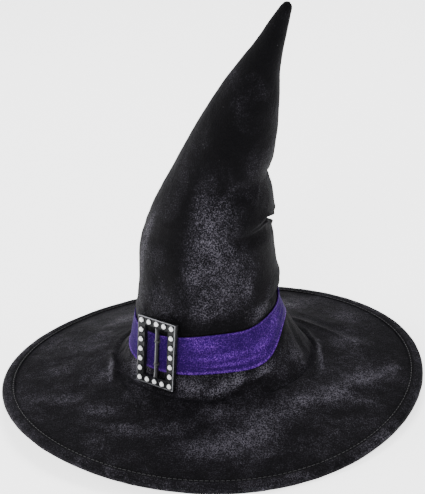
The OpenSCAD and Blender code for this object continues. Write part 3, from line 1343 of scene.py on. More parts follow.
@dataclass
class Crown:
    """The velvet cone with its interfacing, lining and wadding."""

    form: CrownForm
    band: BandLine
    velvet: float = 1.1
    interfacing: float = 0.9
    lining: float = 0.5
    gap: float = 0.2
    seam_roll: float = 2.6
    seam_fade: float = 4.5
    blouse: float = 0.9
    blouse_off: float = 6.0
    band_fade: float = 3.0
    band_press: float = 0.35
    buckle_press: float = 0.7
    tuck_levels: tuple[float, ...] = (172.0, 181.5, 219.0, 36.0, 43.0)
    foot: float = 31.0
    split: float = 197.0
    lining_top: float = 286.0
    interfacing_top: float = 362.0
    bend_low: Pair = (104.0, 196.0)
    bend_high: Pair = (198.0, 280.0)
    cap_rows: int = 5
    folds: tuple[Fold, ...] = (
        # the lower tuck: its notch, and short creases that run forwards and backwards from it
        Fold((28, 161.5), (-28, 182.5), 1.6, 5.6, VALLEY),
        Fold((-26, 182.6), (-44, 179), 2.2, 1.3, VALLEY), Fold((6, 181.8), (-8, 184), 2, 0.8),
        Fold((14, 163), (-20, 172.5), 2, 1.6),
        # the upper tuck
        Fold((8, 219), (-12, 220), 2.2, 1.4, VALLEY), Fold((-10, 220.4), (-26, 225), 3, 0.8, VALLEY),
        Fold((10, 219.6), (26, 224), 3, 0.7, VALLEY), Fold((-9, 224), (-10, 243), 2.6, 0.8),
        # puckers between the tucks
        Fold((-39, 217), (-49, 201), 1.8, 0.55), Fold((-49, 209), (-56, 203), 1.6, 0.4),
        Fold((-26, 196), (-36, 188), 3, 0.5),
        # above the band: blousing, a pinch at the right and a dent at the front
        Fold((14, 117.5), (-24, 116), 7.5, 2.2), Fold((24, 101.5), (-26, 100.5), 3.6, 4.2, VALLEY),
        Fold((-88, 99.5), (-70, 98), 6, 1.8, VALLEY), Fold((-60, 150), (-84, 106), 14, 0.9, VALLEY),
        Fold((-128, 150), (-136, 110), 10, 1, VALLEY), Fold((-110, 168), (-98, 112), 12, 0.8),
        # the skirt below the band
        Fold((-114, 34), (-88, 37.5), 3.2, 3.2, STEP), Fold((-90, 37), (-64, 48), 3.2, 3.8, STEP),
        Fold((-68, 47.5), (-48, 50), 1.7, 1.6), Fold((-60, 43), (-55, 35), 1.8, 1.3),
        Fold((-42, 46), (-39, 37), 1.8, 1.4), Fold((-25, 41), (-23, 34), 1.8, 1.3),
        Fold((-132, 40), (-112, 33.5), 2.4, 2), Fold((-100, 42), (-94, 35), 2.2, 1.2, VALLEY),
        Fold((-78, 43), (-76, 35), 2, 1.1), Fold((-8, 60), (-14, 40), 5, 1.6, VALLEY),
        Fold((8, 66), (2, 36), 4, 1.3), Fold((-118, 50), (-140, 36), 4, 1.4, VALLEY),
        Fold((-160, 55), (-176, 38), 4.5, 1.5), Fold((165, 62), (172, 38), 4, 1.4, VALLEY),
        Fold((132, 58), (120, 36), 4.5, 1.6), Fold((100, 60), (96, 38), 4, 1.2, VALLEY),
        Fold((60, 58), (72, 38), 4, 1.5), Fold((34, 60), (28, 40), 3.5, 1.3, VALLEY),
    )

    patches: tuple[Patch, ...] = (
        # painted sheen: the broad band of it down the front, from between the tucks to the band
        Patch((-108, 214), (10, 22), 0, 0.40), Patch((-94, 192), (17, 20), -12, 0.62),
        Patch((-84, 164), (19, 24), 0, 0.55), Patch((-80, 134), (21, 22), 0, 0.52),
        Patch((-88, 112), (20, 13), 0, 0.50), Patch((-101, 140), (10, 38), 4, 0.42),
        Patch((-60, 150), (15, 20), 25, 0.36), Patch((-60, 124), (14, 14), 0, 0.40),
        # its right end over the band, and a painted rim highlight at the left
        Patch((-42, 98), (16, 8), 15, 0.60), Patch((-36, 110), (8, 10), 0, 0.15),
        Patch((-163, 150), (7, 42), -3, 0.48), Patch((-166, 178), (6, 20), -8, 0.35),
        Patch((-128, 114), (16, 20), 0, 0.35),
        # painted shade: beside the rim, between the tucks and in the dents
        Patch((-128, 166), (9, 38), 5, -0.80), Patch((-50, 196), (15, 24), 12, -0.95),
        Patch((-64, 172), (4, 15), 30, -0.50), Patch((-43, 118), (4.5, 15), 28, -0.60),
        Patch((-80, 99), (12, 4.5), 0, -0.60),
        # faint painted sheen near the tip
        Patch((-150, 309), (7, 14), 0, 0.22),
        # painted sheen on the skirt below the band
        Patch((-107, 42), (17, 7), 0, 0.85), Patch((-82, 44), (17, 5), 22, 0.85),
        Patch((-58, 50), (12, 3), 10, 0.75), Patch((-152, 46), (15, 13), 0, 0.80),
        Patch((-22, 44), (10, 8), 0, 0.25),
        # painted sheen on the back and the right side
        Patch((92, 140), (20, 38), 8, 0.60), Patch((128, 190), (14, 26), -10, 0.45),
        Patch((55, 118), (16, 18), 0, 0.50), Patch((22, 142), (11, 26), 0, 0.35),
        Patch((155, 112), (15, 18), 0, 0.45), Patch((72, 238), (9, 22), 0, 0.30),
        Patch((88, 46), (34, 8), 0, 0.50), Patch((142, 48), (14, 10), 0, 0.45),
        Patch((30, 50), (14, 10), 0, 0.40),
    )

    def drape(self, z: Array, angle: Array) -> Array:
        """How far the cloth stands off the smooth form.

        Args:
            z: Heights.
            angle: Directions in degrees.

        Returns:
            The distance outwards at each place.
        """
        at = self.form.point(z, angle, 0.0)
        soft = rumple(at * (1.0, 1.0, 0.7), 44.0, 3.0) * 1.0 + rumple(at, 17.0, 11.0) * 0.38
        soft += rumple(at, 7.5, 23.0) * 0.12
        lift = soft * smooth((z - 28.0) / 14.0) + folded(self.folds, on_crown(self.form), angle, z)
        roll = self.seam_roll + 1.6 * rumple(at, 24.0, 37.0)
        lift += roll * np.exp(-np.maximum(z - self.foot, 0.0) / self.seam_fade)
        share = self.band.share(z, angle)
        width = self.band.height(np.ones(1), np.zeros(1))[0] - self.band.height(np.zeros(1), np.zeros(1))[0]
        off_band = np.maximum(np.maximum(-share, share - 1.0), 0.0) * width
        under = 1.0 - smooth(off_band / self.band_fade)
        blouse = self.blouse * hill(off_band - self.blouse_off, 4.0) * smooth(off_band)
        lift = lift + blouse
        lift = lift * (1.0 - under) + np.minimum(lift * 0.25, 0.0) * under - self.band_press * under
        pressed = self.under_buckle(z, angle)
        lift = lift * (1.0 - pressed) + np.minimum(lift, -self.buckle_press) * pressed
        return lift * smooth((self.form.top - z) / 25.0 + 0.12)

    def under_buckle(self, z: Array, angle: Array) -> Array:
        """Where the buckle keeps the cloth pressed flat, from 0 to 1.

        Args:
            z: Heights.
            angle: Directions in degrees.

        Returns:
            The share at each place.
        """
        points = corners("buckle_frame")
        turns = self.form.direction(points)
        middle = (turns.min() + turns.max()) / 2
        half_turn = (turns.max() - turns.min()) / 2
        level = (points[:, 2].min() + points[:, 2].max()) / 2
        half_rise = (points[:, 2].max() - points[:, 2].min()) / 2
        beside = smooth((half_turn + 7.0 - np.abs(turn_between(angle, middle))) / 6.0)
        return beside * smooth((half_rise + 4.0 - np.abs(z - level)) / 4.0)

    def rows(self, low: float, high: float, step: float) -> Array:
        """Heights for a sheet's rows, closer together at the tucks and at the foot.

        Args:
            low: The first height.
            high: The last height.
            step: The usual step.

        Returns:
            The heights.
        """
        heights = [low]
        while heights[-1] < high - 0.4 * step:
            near = min(abs(heights[-1] - tuck) for tuck in self.tuck_levels)
            heights.append(min(heights[-1] + step * (0.5 if near < 6.0 else 1.0), high))
        heights[-1] = high
        return np.array(heights)

    def layer(self, name: str, low: float, high: float, inset: float, thickness: float, columns: int,
              step: float, closed: bool = False) -> Piece:
        """Makes one layer of the cone between two heights.

        Args:
            name: The piece's name.
            low: Height of its foot.
            high: Height of its top.
            inset: Distance inwards from the cone's outer surface.
            thickness: The cloth's thickness.
            columns: Faces round it.
            step: Usual height of a face.
            closed: Whether its top is drawn together.

        Returns:
            The piece, with its thickness.
        """
        heights = self.rows(low, high, step)
        last = len(heights) - 1
        cap = self.cap_rows if closed else 0

        def place(across: Array, along: Array) -> Array:
            """Rolls the cloth round the cone, and rounds off its top.

            Args:
                across: Shares along the first side.
                along: Shares along the second.

            Returns:
                Places in millimetres.
            """
            row = np.round(along * (last + cap)).astype(int)
            z = heights[np.minimum(row, last)]
            turn = np.maximum(row - last, 0) / max(cap, 1) * np.pi / 2
            angle = across * FULL_TURN
            lift = self.drape(z, angle) - inset
            points = self.form.point(z, angle, lift)
            axis = self.form.centre(z)
            reach = np.hypot(points[:, 0] - axis, points[:, 1])
            points[:, 0] = axis + (points[:, 0] - axis) * np.cos(turn) + 0.10 * reach * np.sin(turn)
            points[:, 1] *= np.cos(turn)
            points[:, 2] += 0.45 * np.minimum(reach, 6.0) * np.sin(turn)
            pole = turn > 1.57
            points[pole, :2] = np.array([axis[pole], np.zeros(pole.sum())]).T
            return points

        centre = float(self.form.centre(np.array([(low + high) / 2]))[0])
        return cloth_of(name, columns, last + cap, place, (centre, 0.0, (low + high) / 2), thickness)

    def bend(self, piece: Piece) -> None:
        """Bakes a layer's placement into its mesh.

        Args:
            piece: The layer.
        """
        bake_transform(piece)

    def shine(self, piece: Piece) -> None:
        """Paints sheen and shade into the pile of a piece.

        Args:
            piece: The piece.
        """
        points = places_of(piece) / MM
        z, angle = points[:, 2], self.form.direction(points)
        painted_sheen = brushed(self.patches, on_crown(self.form), angle, z)
        # More painted sheen on the skirt below 55 mm, and a little more up to about 150 mm, fading out by 210
        # mm.
        low = 1.0 - smooth((z - 55.0) / 12.0)
        paint_sheen(piece, painted_sheen * (1.0 + 0.5 * low) + 0.15 * low + 0.05 * (1.0 - smooth((z - 150.0) / 60.0)))

    def build_velvet(self) -> None:
        """Makes the cone's velvet in two pieces that meet between the tucks."""
        lower = self.layer("crown_velvet_cloth_lower", self.foot, self.split, 0.0, self.velvet, 250, 1.35)
        upper = self.layer("crown_velvet_cloth_upper", self.split, self.form.top - 1.2, 0.0, self.velvet,
                           220, 1.45, closed=True)
        self.shine(lower)
        self.shine(upper)
        self.bend(lower)
        self.bend(upper)
        note(lower, BLACK_VELVET, "crown_velvet_lower", "crown_velvet_middle")
        note(upper, BLACK_VELVET, "crown_velvet_tip")

    def build_layers(self) -> None:
        """Makes the interfacing and the lining, each in two pieces like the velvet."""
        first = self.velvet + self.gap
        second = first + self.interfacing + self.gap
        plan = (
            ("interfacing", "sheet", INTERFACING, first, self.interfacing, self.interfacing_top, False,
             (0.35, 0.18, 0.036)),
            ("lining", "cloth", LINING, second, self.lining, self.lining_top, True, (0.33, 0.11, 0.028)),
        )
        for stuff, form, finish, inset, thickness, top, closed, cut in plan:
            stem, solid = f"crown_{stuff}_{form}", f"crown_{stuff}"
            lower = self.layer(f"{stem}_lower", self.foot + 1.5, self.split, inset, thickness, 120, 3.2)
            upper = self.layer(f"{stem}_upper", self.split, top, inset, thickness, 96, 3.4, closed=closed)
            self.bend(lower)
            self.bend(upper)
            note(lower, finish, f"{solid}_lower", f"{solid}_middle")
            note(upper, finish, f"{solid}_tip")

    def build_wadding(self) -> None:
        """Makes the wad of fibre that fills the tip above the lining."""
        low, high = (box[2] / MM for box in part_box("tip_wadding"))
        inset = self.velvet + self.interfacing + self.lining + 3 * self.gap + 0.6

        def place(across: Array, along: Array) -> Array:
            """Fills the tip's form, drawn in and lumpy towards both ends.

            Args:
                across: Shares along the first side.
                along: Shares along the second.

            Returns:
                Places in millimetres.
            """
            z = low + (high - low) * along
            angle = across * FULL_TURN
            full = np.sqrt(np.clip(1.0 - np.abs(2.0 * along - 1.0) ** 5, 0.0, 1.0))
            at = self.form.point(z, angle, -inset)
            lump = 0.93 + 0.06 * rumple(at, 7.0, 4.0) + 0.03 * rumple(at, 3.0, 9.0)
            axis = self.form.centre(z)
            points = at.copy()
            points[:, 0] = axis + (at[:, 0] - axis) * full * lump
            points[:, 1] = at[:, 1] * full * lump
            return points

        wad = sheet_of("tip_wadding_fibre", 72, 60, place)
        face_away_from(wad, tuple(np.mean([np.array(b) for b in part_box("tip_wadding")], axis=0) / MM))
        seat(wad, Body.TIP, WADDING, "tip_wadding")

    def build_tuck_threads(self) -> None:
        """Makes the rows of stitches that hold each tuck shut inside the cone."""
        for name, upper in (("lower_tuck_thread", False), ("upper_tuck_thread", True)):
            low, high = (np.array(b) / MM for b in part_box(name))
            length = (high - low)[2]
            middle = (low + high) / 2
            spots = []
            for k in range(-2, 3):
                at = (high[0] - 0.35 - 0.35 * k * k, 4.5 * k, middle[2])
                lean = Vector((0.0, 0.16 * (-1) ** k, 1.0))
                spots.append(facing(at, lean, Vector((-1.0, 0.0, 0.0))))
            thread = repeated(f"{name}_stitches", stitch_model(length, 0.35), spots)
            self.bend(thread)
            note(thread, BLACK_THREAD, name)

    def build(self) -> None:
        """Makes all of the crown."""
        self.build_velvet()
        self.build_layers()
        self.build_wadding()
        self.build_tuck_threads()


# ---- the brim


@dataclass
class Brim:
    """The wired brim: two velvets over foam, with a bound and topstitched edge."""

    form: BrimForm
    cloth: float = 0.85
    top_face: float = 2.4
    foam_half: float = 0.85
    bead: float = 3.4
    bead_radius: float = 196.6
    stitch_radius: float = 189.0
    stitch_count: int = 260
    lip_radius: float = 187.4
    columns: int = 360
    # An even painted sheen on the underside velvet.
    underside_shine: float = 0.16
    cut_outer_m: float = 0.2
    cut_inner_m: float = 0.092
    folds: tuple[Fold, ...] = (
        # the lip that stands up beside the crown at the left, and the valley inside it
        Fold((172, 95.5), (200, 97), 3, 3.4), Fold((198, 97), (226, 104), 3.6, 2.4),
        Fold((176, 90), (206, 91), 2.4, 1.2, VALLEY),
        # the flared ridge that the skirt leaves in the brim at the right
        Fold((24, 102), (-2, 103.5), 2.3, 2.2), Fold((2, 103.5), (-27, 104), 2.5, 2.6),
        Fold((10, 108.5), (-20, 109.5), 2.4, 0.9, VALLEY),
        # a wrinkle behind the crown at the right
        Fold((40, 110), (12, 136), 3.4, 2), Fold((36, 124), (16, 146), 5, 1, VALLEY),
        # long soft waves in the cloth
        Fold((-58, 108), (-36, 150), 8, 1.5), Fold((-42, 120), (-16, 170), 9, 1.3),
        Fold((-74, 112), (-62, 165), 9, 1.1), Fold((-96, 110), (-88, 172), 10, 0.9, VALLEY),
        Fold((-120, 116), (-104, 158), 7, 1.1), Fold((-140, 118), (-158, 160), 7, 1.2),
        Fold((-168, 112), (-152, 170), 8, 1, VALLEY), Fold((-4, 112), (-24, 160), 7, 1, VALLEY),
        Fold((150, 112), (140, 165), 8, 1.1), Fold((118, 115), (100, 160), 8, 1),
        Fold((84, 112), (64, 158), 7, 1.1, VALLEY),
    )

    # Patches of painted sheen on the top velvet.
    patches: tuple[Patch, ...] = (
        # painted sheen: the long stretch of it from the middle of the front round to the right
        Patch((-67, 125), (24, 13), 25, 0.60), Patch((-48, 119), (17, 11), 35, 0.55),
        Patch((-35, 132), (20, 11), 30, 0.65), Patch((-17, 149), (23, 13), 30, 0.70),
        Patch((-8, 169), (11, 9), 20, 0.45), Patch((10, 138), (16, 11), 0, 0.30),
        Patch((-31, 156), (16, 8), 25, 0.30),
        # the front
        Patch((-81, 141), (26, 13), 8, 0.60), Patch((-95, 150), (24, 13), -4, 0.50),
        Patch((-90, 108), (20, 9), 0, 0.35), Patch((-75, 162), (20, 7), 15, 0.35),
        # the left
        Patch((-108, 128), (18, 9), -12, 0.35), Patch((-123, 140), (20, 9), -25, 0.35),
        Patch((-142, 132), (20, 10), -20, 0.40), Patch((-159, 152), (20, 9), -10, 0.35),
        Patch((178, 145), (20, 12), 0, 0.18), Patch((162, 128), (17, 13), 0, 0.10),
        Patch((-166, 106), (8, 12), 0, 0.35),
        # painted highlights along the ridges beside the crown
        Patch((-3, 103), (2.4, 26), 0, 0.60), Patch((-168, 97.5), (2.6, 18), 0, 0.85),
        # the back
        Patch((60, 142), (24, 13), -25, 0.50), Patch((90, 150), (26, 12), 0, 0.45),
        Patch((126, 138), (20, 13), 35, 0.50), Patch((32, 158), (14, 10), -40, 0.35),
    )

    def wrinkles(self, radius: Array, angle: Array) -> Array:
        """How far the top cloth stands off the smooth brim.

        Args:
            radius: Distances from the axis.
            angle: Directions in degrees.

        Returns:
            The rise at each place.
        """
        at = self.form.point(radius, angle, 0.0)
        broad = rumple(at, 38.0, 7.0) * 0.75
        creased = 0.5 - np.abs(rumple(at, 23.0, 15.0)) * 1.6
        fine = rumple(at, 9.0, 31.0) * 0.16
        inner = self.form.inner_radius(angle)
        loose = smooth((radius - inner) / 14.0) * smooth((self.stitch_radius - radius) / 16.0)
        lift = (broad + creased * 0.5 + fine) * loose + folded(self.folds, on_plane, angle, radius)
        lift = np.maximum(lift, -0.75)
        groove = 0.55 * hill(radius - self.stitch_radius, 2.2)
        roll = 1.5 * np.exp(-(radius - inner) / 2.6) - 0.7 * hill(radius - inner - 6.0, 3.4)
        return lift - groove - roll

    def face(self, name: str, lift: Layout, columns: int,
             rows: int, above: bool, thickness: float) -> Piece:
        """Makes one cloth of the brim.

        Args:
            name: The piece's name.
            lift: Its height over the middle layer, from radius and direction.
            columns: Faces round it.
            rows: Faces from the opening to the edge.
            above: Whether its good side looks up.
            thickness: The cloth's thickness.

        Returns:
            The piece.
        """

        def place(across: Array, along: Array) -> Array:
            """Spreads the cloth from the brim's opening to its edge.

            Args:
                across: Shares along the first side.
                along: Shares along the second.

            Returns:
                Places in millimetres.
            """
            angle = across * FULL_TURN
            inner = self.form.inner_radius(angle)
            radius = inner + (self.form.outer - inner) * (0.35 * along**2 + 0.65 * along)
            return self.form.point(radius, angle, lift(radius, angle))

        inside = (0.0, 0.0, -FAR_AWAY if above else FAR_AWAY)
        return cloth_of(name, columns, rows, place, inside, thickness)

    def build_cloths(self) -> None:
        """Makes the two velvets and the foam between them."""
        top = self.face("brim_velvet_cloth_top",
                        lambda r, a: self.top_face + self.wrinkles(r, a), self.columns, 74, True, self.cloth)
        under = self.face(
            "brim_velvet_cloth_underside",
            lambda r, a: -self.top_face - 0.35 * rumple(self.form.point(r, a, 0.0), 30.0, 19.0)
            * smooth((self.stitch_radius - r) / 14.0) + 0.55 * hill(r - self.stitch_radius, 2.2),
            240, 48, False, self.cloth)
        foam = self.face("brim_foam_core", lambda r, a: np.full(len(r), self.foam_half), 120, 20, True,
                         2 * self.foam_half)
        x, y = places_of(top)[:, :2].T / MM
        radius, angle = np.hypot(x, y), np.degrees(np.arctan2(y, x))
        # Painted sheen: even on the underside, in patches on the top, fading out towards the stitching.
        edge_fade = smooth((self.stitch_radius - radius) / 16.0)
        paint_sheen(under, np.full(len(under.data.vertices), self.underside_shine))
        painted_sheen = 1.15 * brushed(self.patches, on_plane, angle, radius) * edge_fade
        paint_sheen(top, painted_sheen + 0.12 + 0.06 * edge_fade)
        seat(top, Body.HAT, BLACK_VELVET, "brim_top_velvet")
        seat(under, Body.HAT, BLACK_VELVET, "brim_underside_velvet")
        seat(foam, Body.HAT, FOAM, "brim_foam")

    def edge_section(self) -> tuple[Array, Array]:
        """The bound edge in section, from its upper lip round to its lower one.

        Returns:
            Places as distance out from the bead's middle and height, and the way each one faces.
        """
        lip, stitch = self.lip_radius - self.bead_radius, self.stitch_radius - self.bead_radius
        upper = [(lip, 2.75), (lip + 0.15, 3.15), (lip + 0.8, 3.25), (stitch, 2.85), (stitch + 1.4, 3.2),
                 (stitch + 3.4, 3.75), (-2.2, 3.8)]
        turns = np.radians(np.arange(0.0, 181.0, 15.0))
        round_edge = np.column_stack([np.sin(turns), np.cos(turns)])
        flat = np.array(upper)
        down = flat[::-1] * (1.0, -1.0)
        straight_up = np.tile((0.0, 1.0), (len(flat), 1))
        ways = np.vstack([straight_up, round_edge, -straight_up])
        return np.vstack([flat, round_edge * self.bead, down]), ways

    def build_binding(self) -> None:
        """Folds a strip of velvet round the edge and puckers it between the stitches."""
        section, ways = self.edge_section()
        last = len(section) - 1

        def place(across: Array, along: Array) -> Array:
            """Carries the section round the brim.

            Args:
                across: Shares along the first side.
                along: Shares along the second.

            Returns:
                Places in millimetres.
            """
            row = np.round(along * last).astype(int)
            angle = across * FULL_TURN
            out, rise = section[row, 0], section[row, 1]
            at = self.form.point(self.bead_radius + out, angle, rise)
            pucker = 0.10 * np.cos(np.radians(angle * self.stitch_count)) * hill(out + 5.6, 2.6)
            loose = smooth((out + 7.6) / 4.0)
            puff = pucker + 0.22 * rumple(at, 16.0, 41.0) * loose + 0.09 * rumple(at, 6.0, 3.0)
            radius = self.bead_radius + out + puff * ways[row, 0]
            return self.form.point(radius, angle, rise + puff * ways[row, 1])

        binding = cloth_of("brim_edge_binding_strip", 520, last, place, (0.0, 0.0, 8.0), 0.8)
        points = places_of(binding) / MM
        out = np.hypot(points[:, 0], points[:, 1]) - self.stitch_radius
        # Painted sheen on the binding outside the stitching, uneven at random.
        paint_sheen(binding, (0.26 + 0.2 * rumple(points, 30.0, 2.0)) * smooth((out - 1.4) / 2.0))
        seat(binding, Body.HAT, BLACK_VELVET, "brim_edge_binding")

    def build_stitching(self) -> None:
        """Sews the row of topstitching through the binding."""
        angles = np.arange(self.stitch_count) * FULL_TURN / self.stitch_count
        pitch = 2 * math.pi * self.stitch_radius / self.stitch_count
        radius = np.full(self.stitch_count, self.stitch_radius)
        spots = []
        for side in (1.0, -1.0):
            here = self.form.point(radius, angles, side * 3.02)
            ahead = self.form.point(radius, angles + 0.4, side * 3.02)
            for at, beyond in zip(here, ahead):
                spots.append(facing(at, Vector(beyond - at), Vector((0.0, 0.0, side))))
        stitches = repeated("brim_topstitch_thread", stitch_model(0.8 * pitch, 0.3), spots)
        seat(stitches, Body.HAT, BLACK_THREAD, "brim_topstitch")

    def dress_wire(self) -> None:
        """Dresses the wire and the crimp that joins its ends, which stay as the frame has them."""
        STEEL_WIRE.dress(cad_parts["brim_wire"])
        BRASS_CRIMP.dress(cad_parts["brim_wire_ferrule"])

    def build(self) -> None:
        """Makes all of the brim."""
        self.build_cloths()
        self.build_binding()
        self.build_stitching()
        self.dress_wire()


# ---- inside the opening


@dataclass
class Opening:
    """The sweatband round the inside of the opening, with its stitches and the label."""

    crown: CrownForm
    brim: BrimForm
    inset: float = 3.1
    ribbon: float = 0.8
    brim_half: float = 2.4
    under_brim: float = 0.9
    foot_z: float = 35.0
    turned_share: float = 0.3
    stitch_count: int = 150

    def path(self, angle: Array, share: Array) -> Array:
        """The ribbon's good side, from its turned edge under the brim up to its top edge.

        Args:
            angle: Directions in degrees.
            share: From 0 under the brim to 1 at the top.

        Returns:
            One place per row.
        """
        top = float(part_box("sweatband")[1][2]) / MM
        inner = self.brim.inner_radius(angle)
        seam = self.brim.height(inner, angle)
        under = seam - self.brim_half - self.under_brim
        turned = np.clip(share / self.turned_share, 0.0, 1.0)
        risen = np.clip((share - self.turned_share) / (1.0 - self.turned_share), 0.0, 1.0)
        out = np.cos(np.pi * 0.5 * np.clip(turned / 0.85, 0.0, 1.0))
        foot_z = seam + 2.5
        below = under - 0.5 * np.sin(np.pi * turned) + 2.5 * smooth(turned - 0.45) * 2
        z = np.where(share < self.turned_share, below, foot_z + (top - foot_z) * risen)
        foot = self.crown.point(np.full_like(z, self.foot_z), angle, -self.inset)
        foot_r = np.hypot(foot[:, 0], foot[:, 1])
        at = self.crown.point(np.maximum(z, self.foot_z), angle, -self.inset - self.ribbon)
        radius = np.where(share < self.turned_share, (foot_r - self.ribbon) + (inner + 4.5 - foot_r) * out,
                          np.hypot(at[:, 0], at[:, 1]))
        radius = radius - 0.35 * np.sin(np.pi * risen) + 0.15 * rumple(at, 12.0, 6.0)
        turn = np.radians(angle)
        return np.column_stack([radius * np.cos(turn), radius * np.sin(turn), z])

    def build_ribbon(self) -> None:
        """Sews in the ribbon, turned outwards over the raw edges of the brim."""
        ribbon = sheet_of("sweatband_ribbon", 220, 22, lambda u, v: self.path(u * FULL_TURN, v))
        face_away_from(ribbon, (0.0, 0.0, 40.0))
        flip(ribbon)
        thicken(ribbon, self.ribbon)
        seat(ribbon, Body.HAT, SWEAT_RIBBON, "sweatband")

    def build_stitches(self) -> None:
        """Sews two rows of stitches, one near the ribbon's top and one under the brim."""
        angles = np.arange(self.stitch_count) * FULL_TURN / self.stitch_count
        spots = []
        for share in (0.93, 0.10):
            level = np.full(self.stitch_count, share)
            here, ahead = self.path(angles, level), self.path(angles + 0.5, level)
            away = self.path(angles, level + 0.02) - self.path(angles, level - 0.02)
            for at, beyond, up in zip(here, ahead, away):
                along = Vector(beyond - at)
                good = Vector(up).cross(along)
                if share > 0.5 and good.dot(Vector(at)) > 0 or share < 0.5 and good.z > 0:
                    good.negate()
                spots.append(facing(Vector(at) + good.normalized() * 0.12, along, good))
        stitches = repeated("sweatband_thread", stitch_model(2.6, 0.26), spots)
        seat(stitches, Body.HAT, BLACK_THREAD)

    def build_label(self) -> None:
        """Hangs a blank satin label from the sweatband, folded at its foot."""
        low, high = (np.array(b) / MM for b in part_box("care_label"))
        width, height = (high - low)[0], (high - low)[2]

        def place(across: Array, along: Array) -> Array:
            """Drops the satin from its seam, curls it and turns its foot back up.

            Args:
                across: Shares along the first side.
                along: Shares along the second.

            Returns:
                Places in millimetres.
            """
            x = low[0] + width * across
            down = np.minimum(along, 0.9)
            z = high[2] - height * down
            curl = 1.4 * along**2 * (0.6 + 0.4 * np.cos(np.pi * (across - 0.5)))
            y = low[1] - curl + 0.25 * np.sin(9 * across)
            turned = np.maximum(along - 0.9, 0.0) * 10.0
            return np.column_stack([x, y + 0.7 * turned, z + 0.8 * turned**2])

        behind = ((low[0] + high[0]) / 2, 300.0, low[2])
        label = cloth_of("care_label_satin", 24, 30, place, behind, 0.25)
        seat(label, Body.HAT, LABEL_SATIN, "care_label")

    def build(self) -> None:
        """Makes all that is sewn into the opening."""
        self.build_ribbon()
        self.build_stitches()
        self.build_label()


# ---- the band


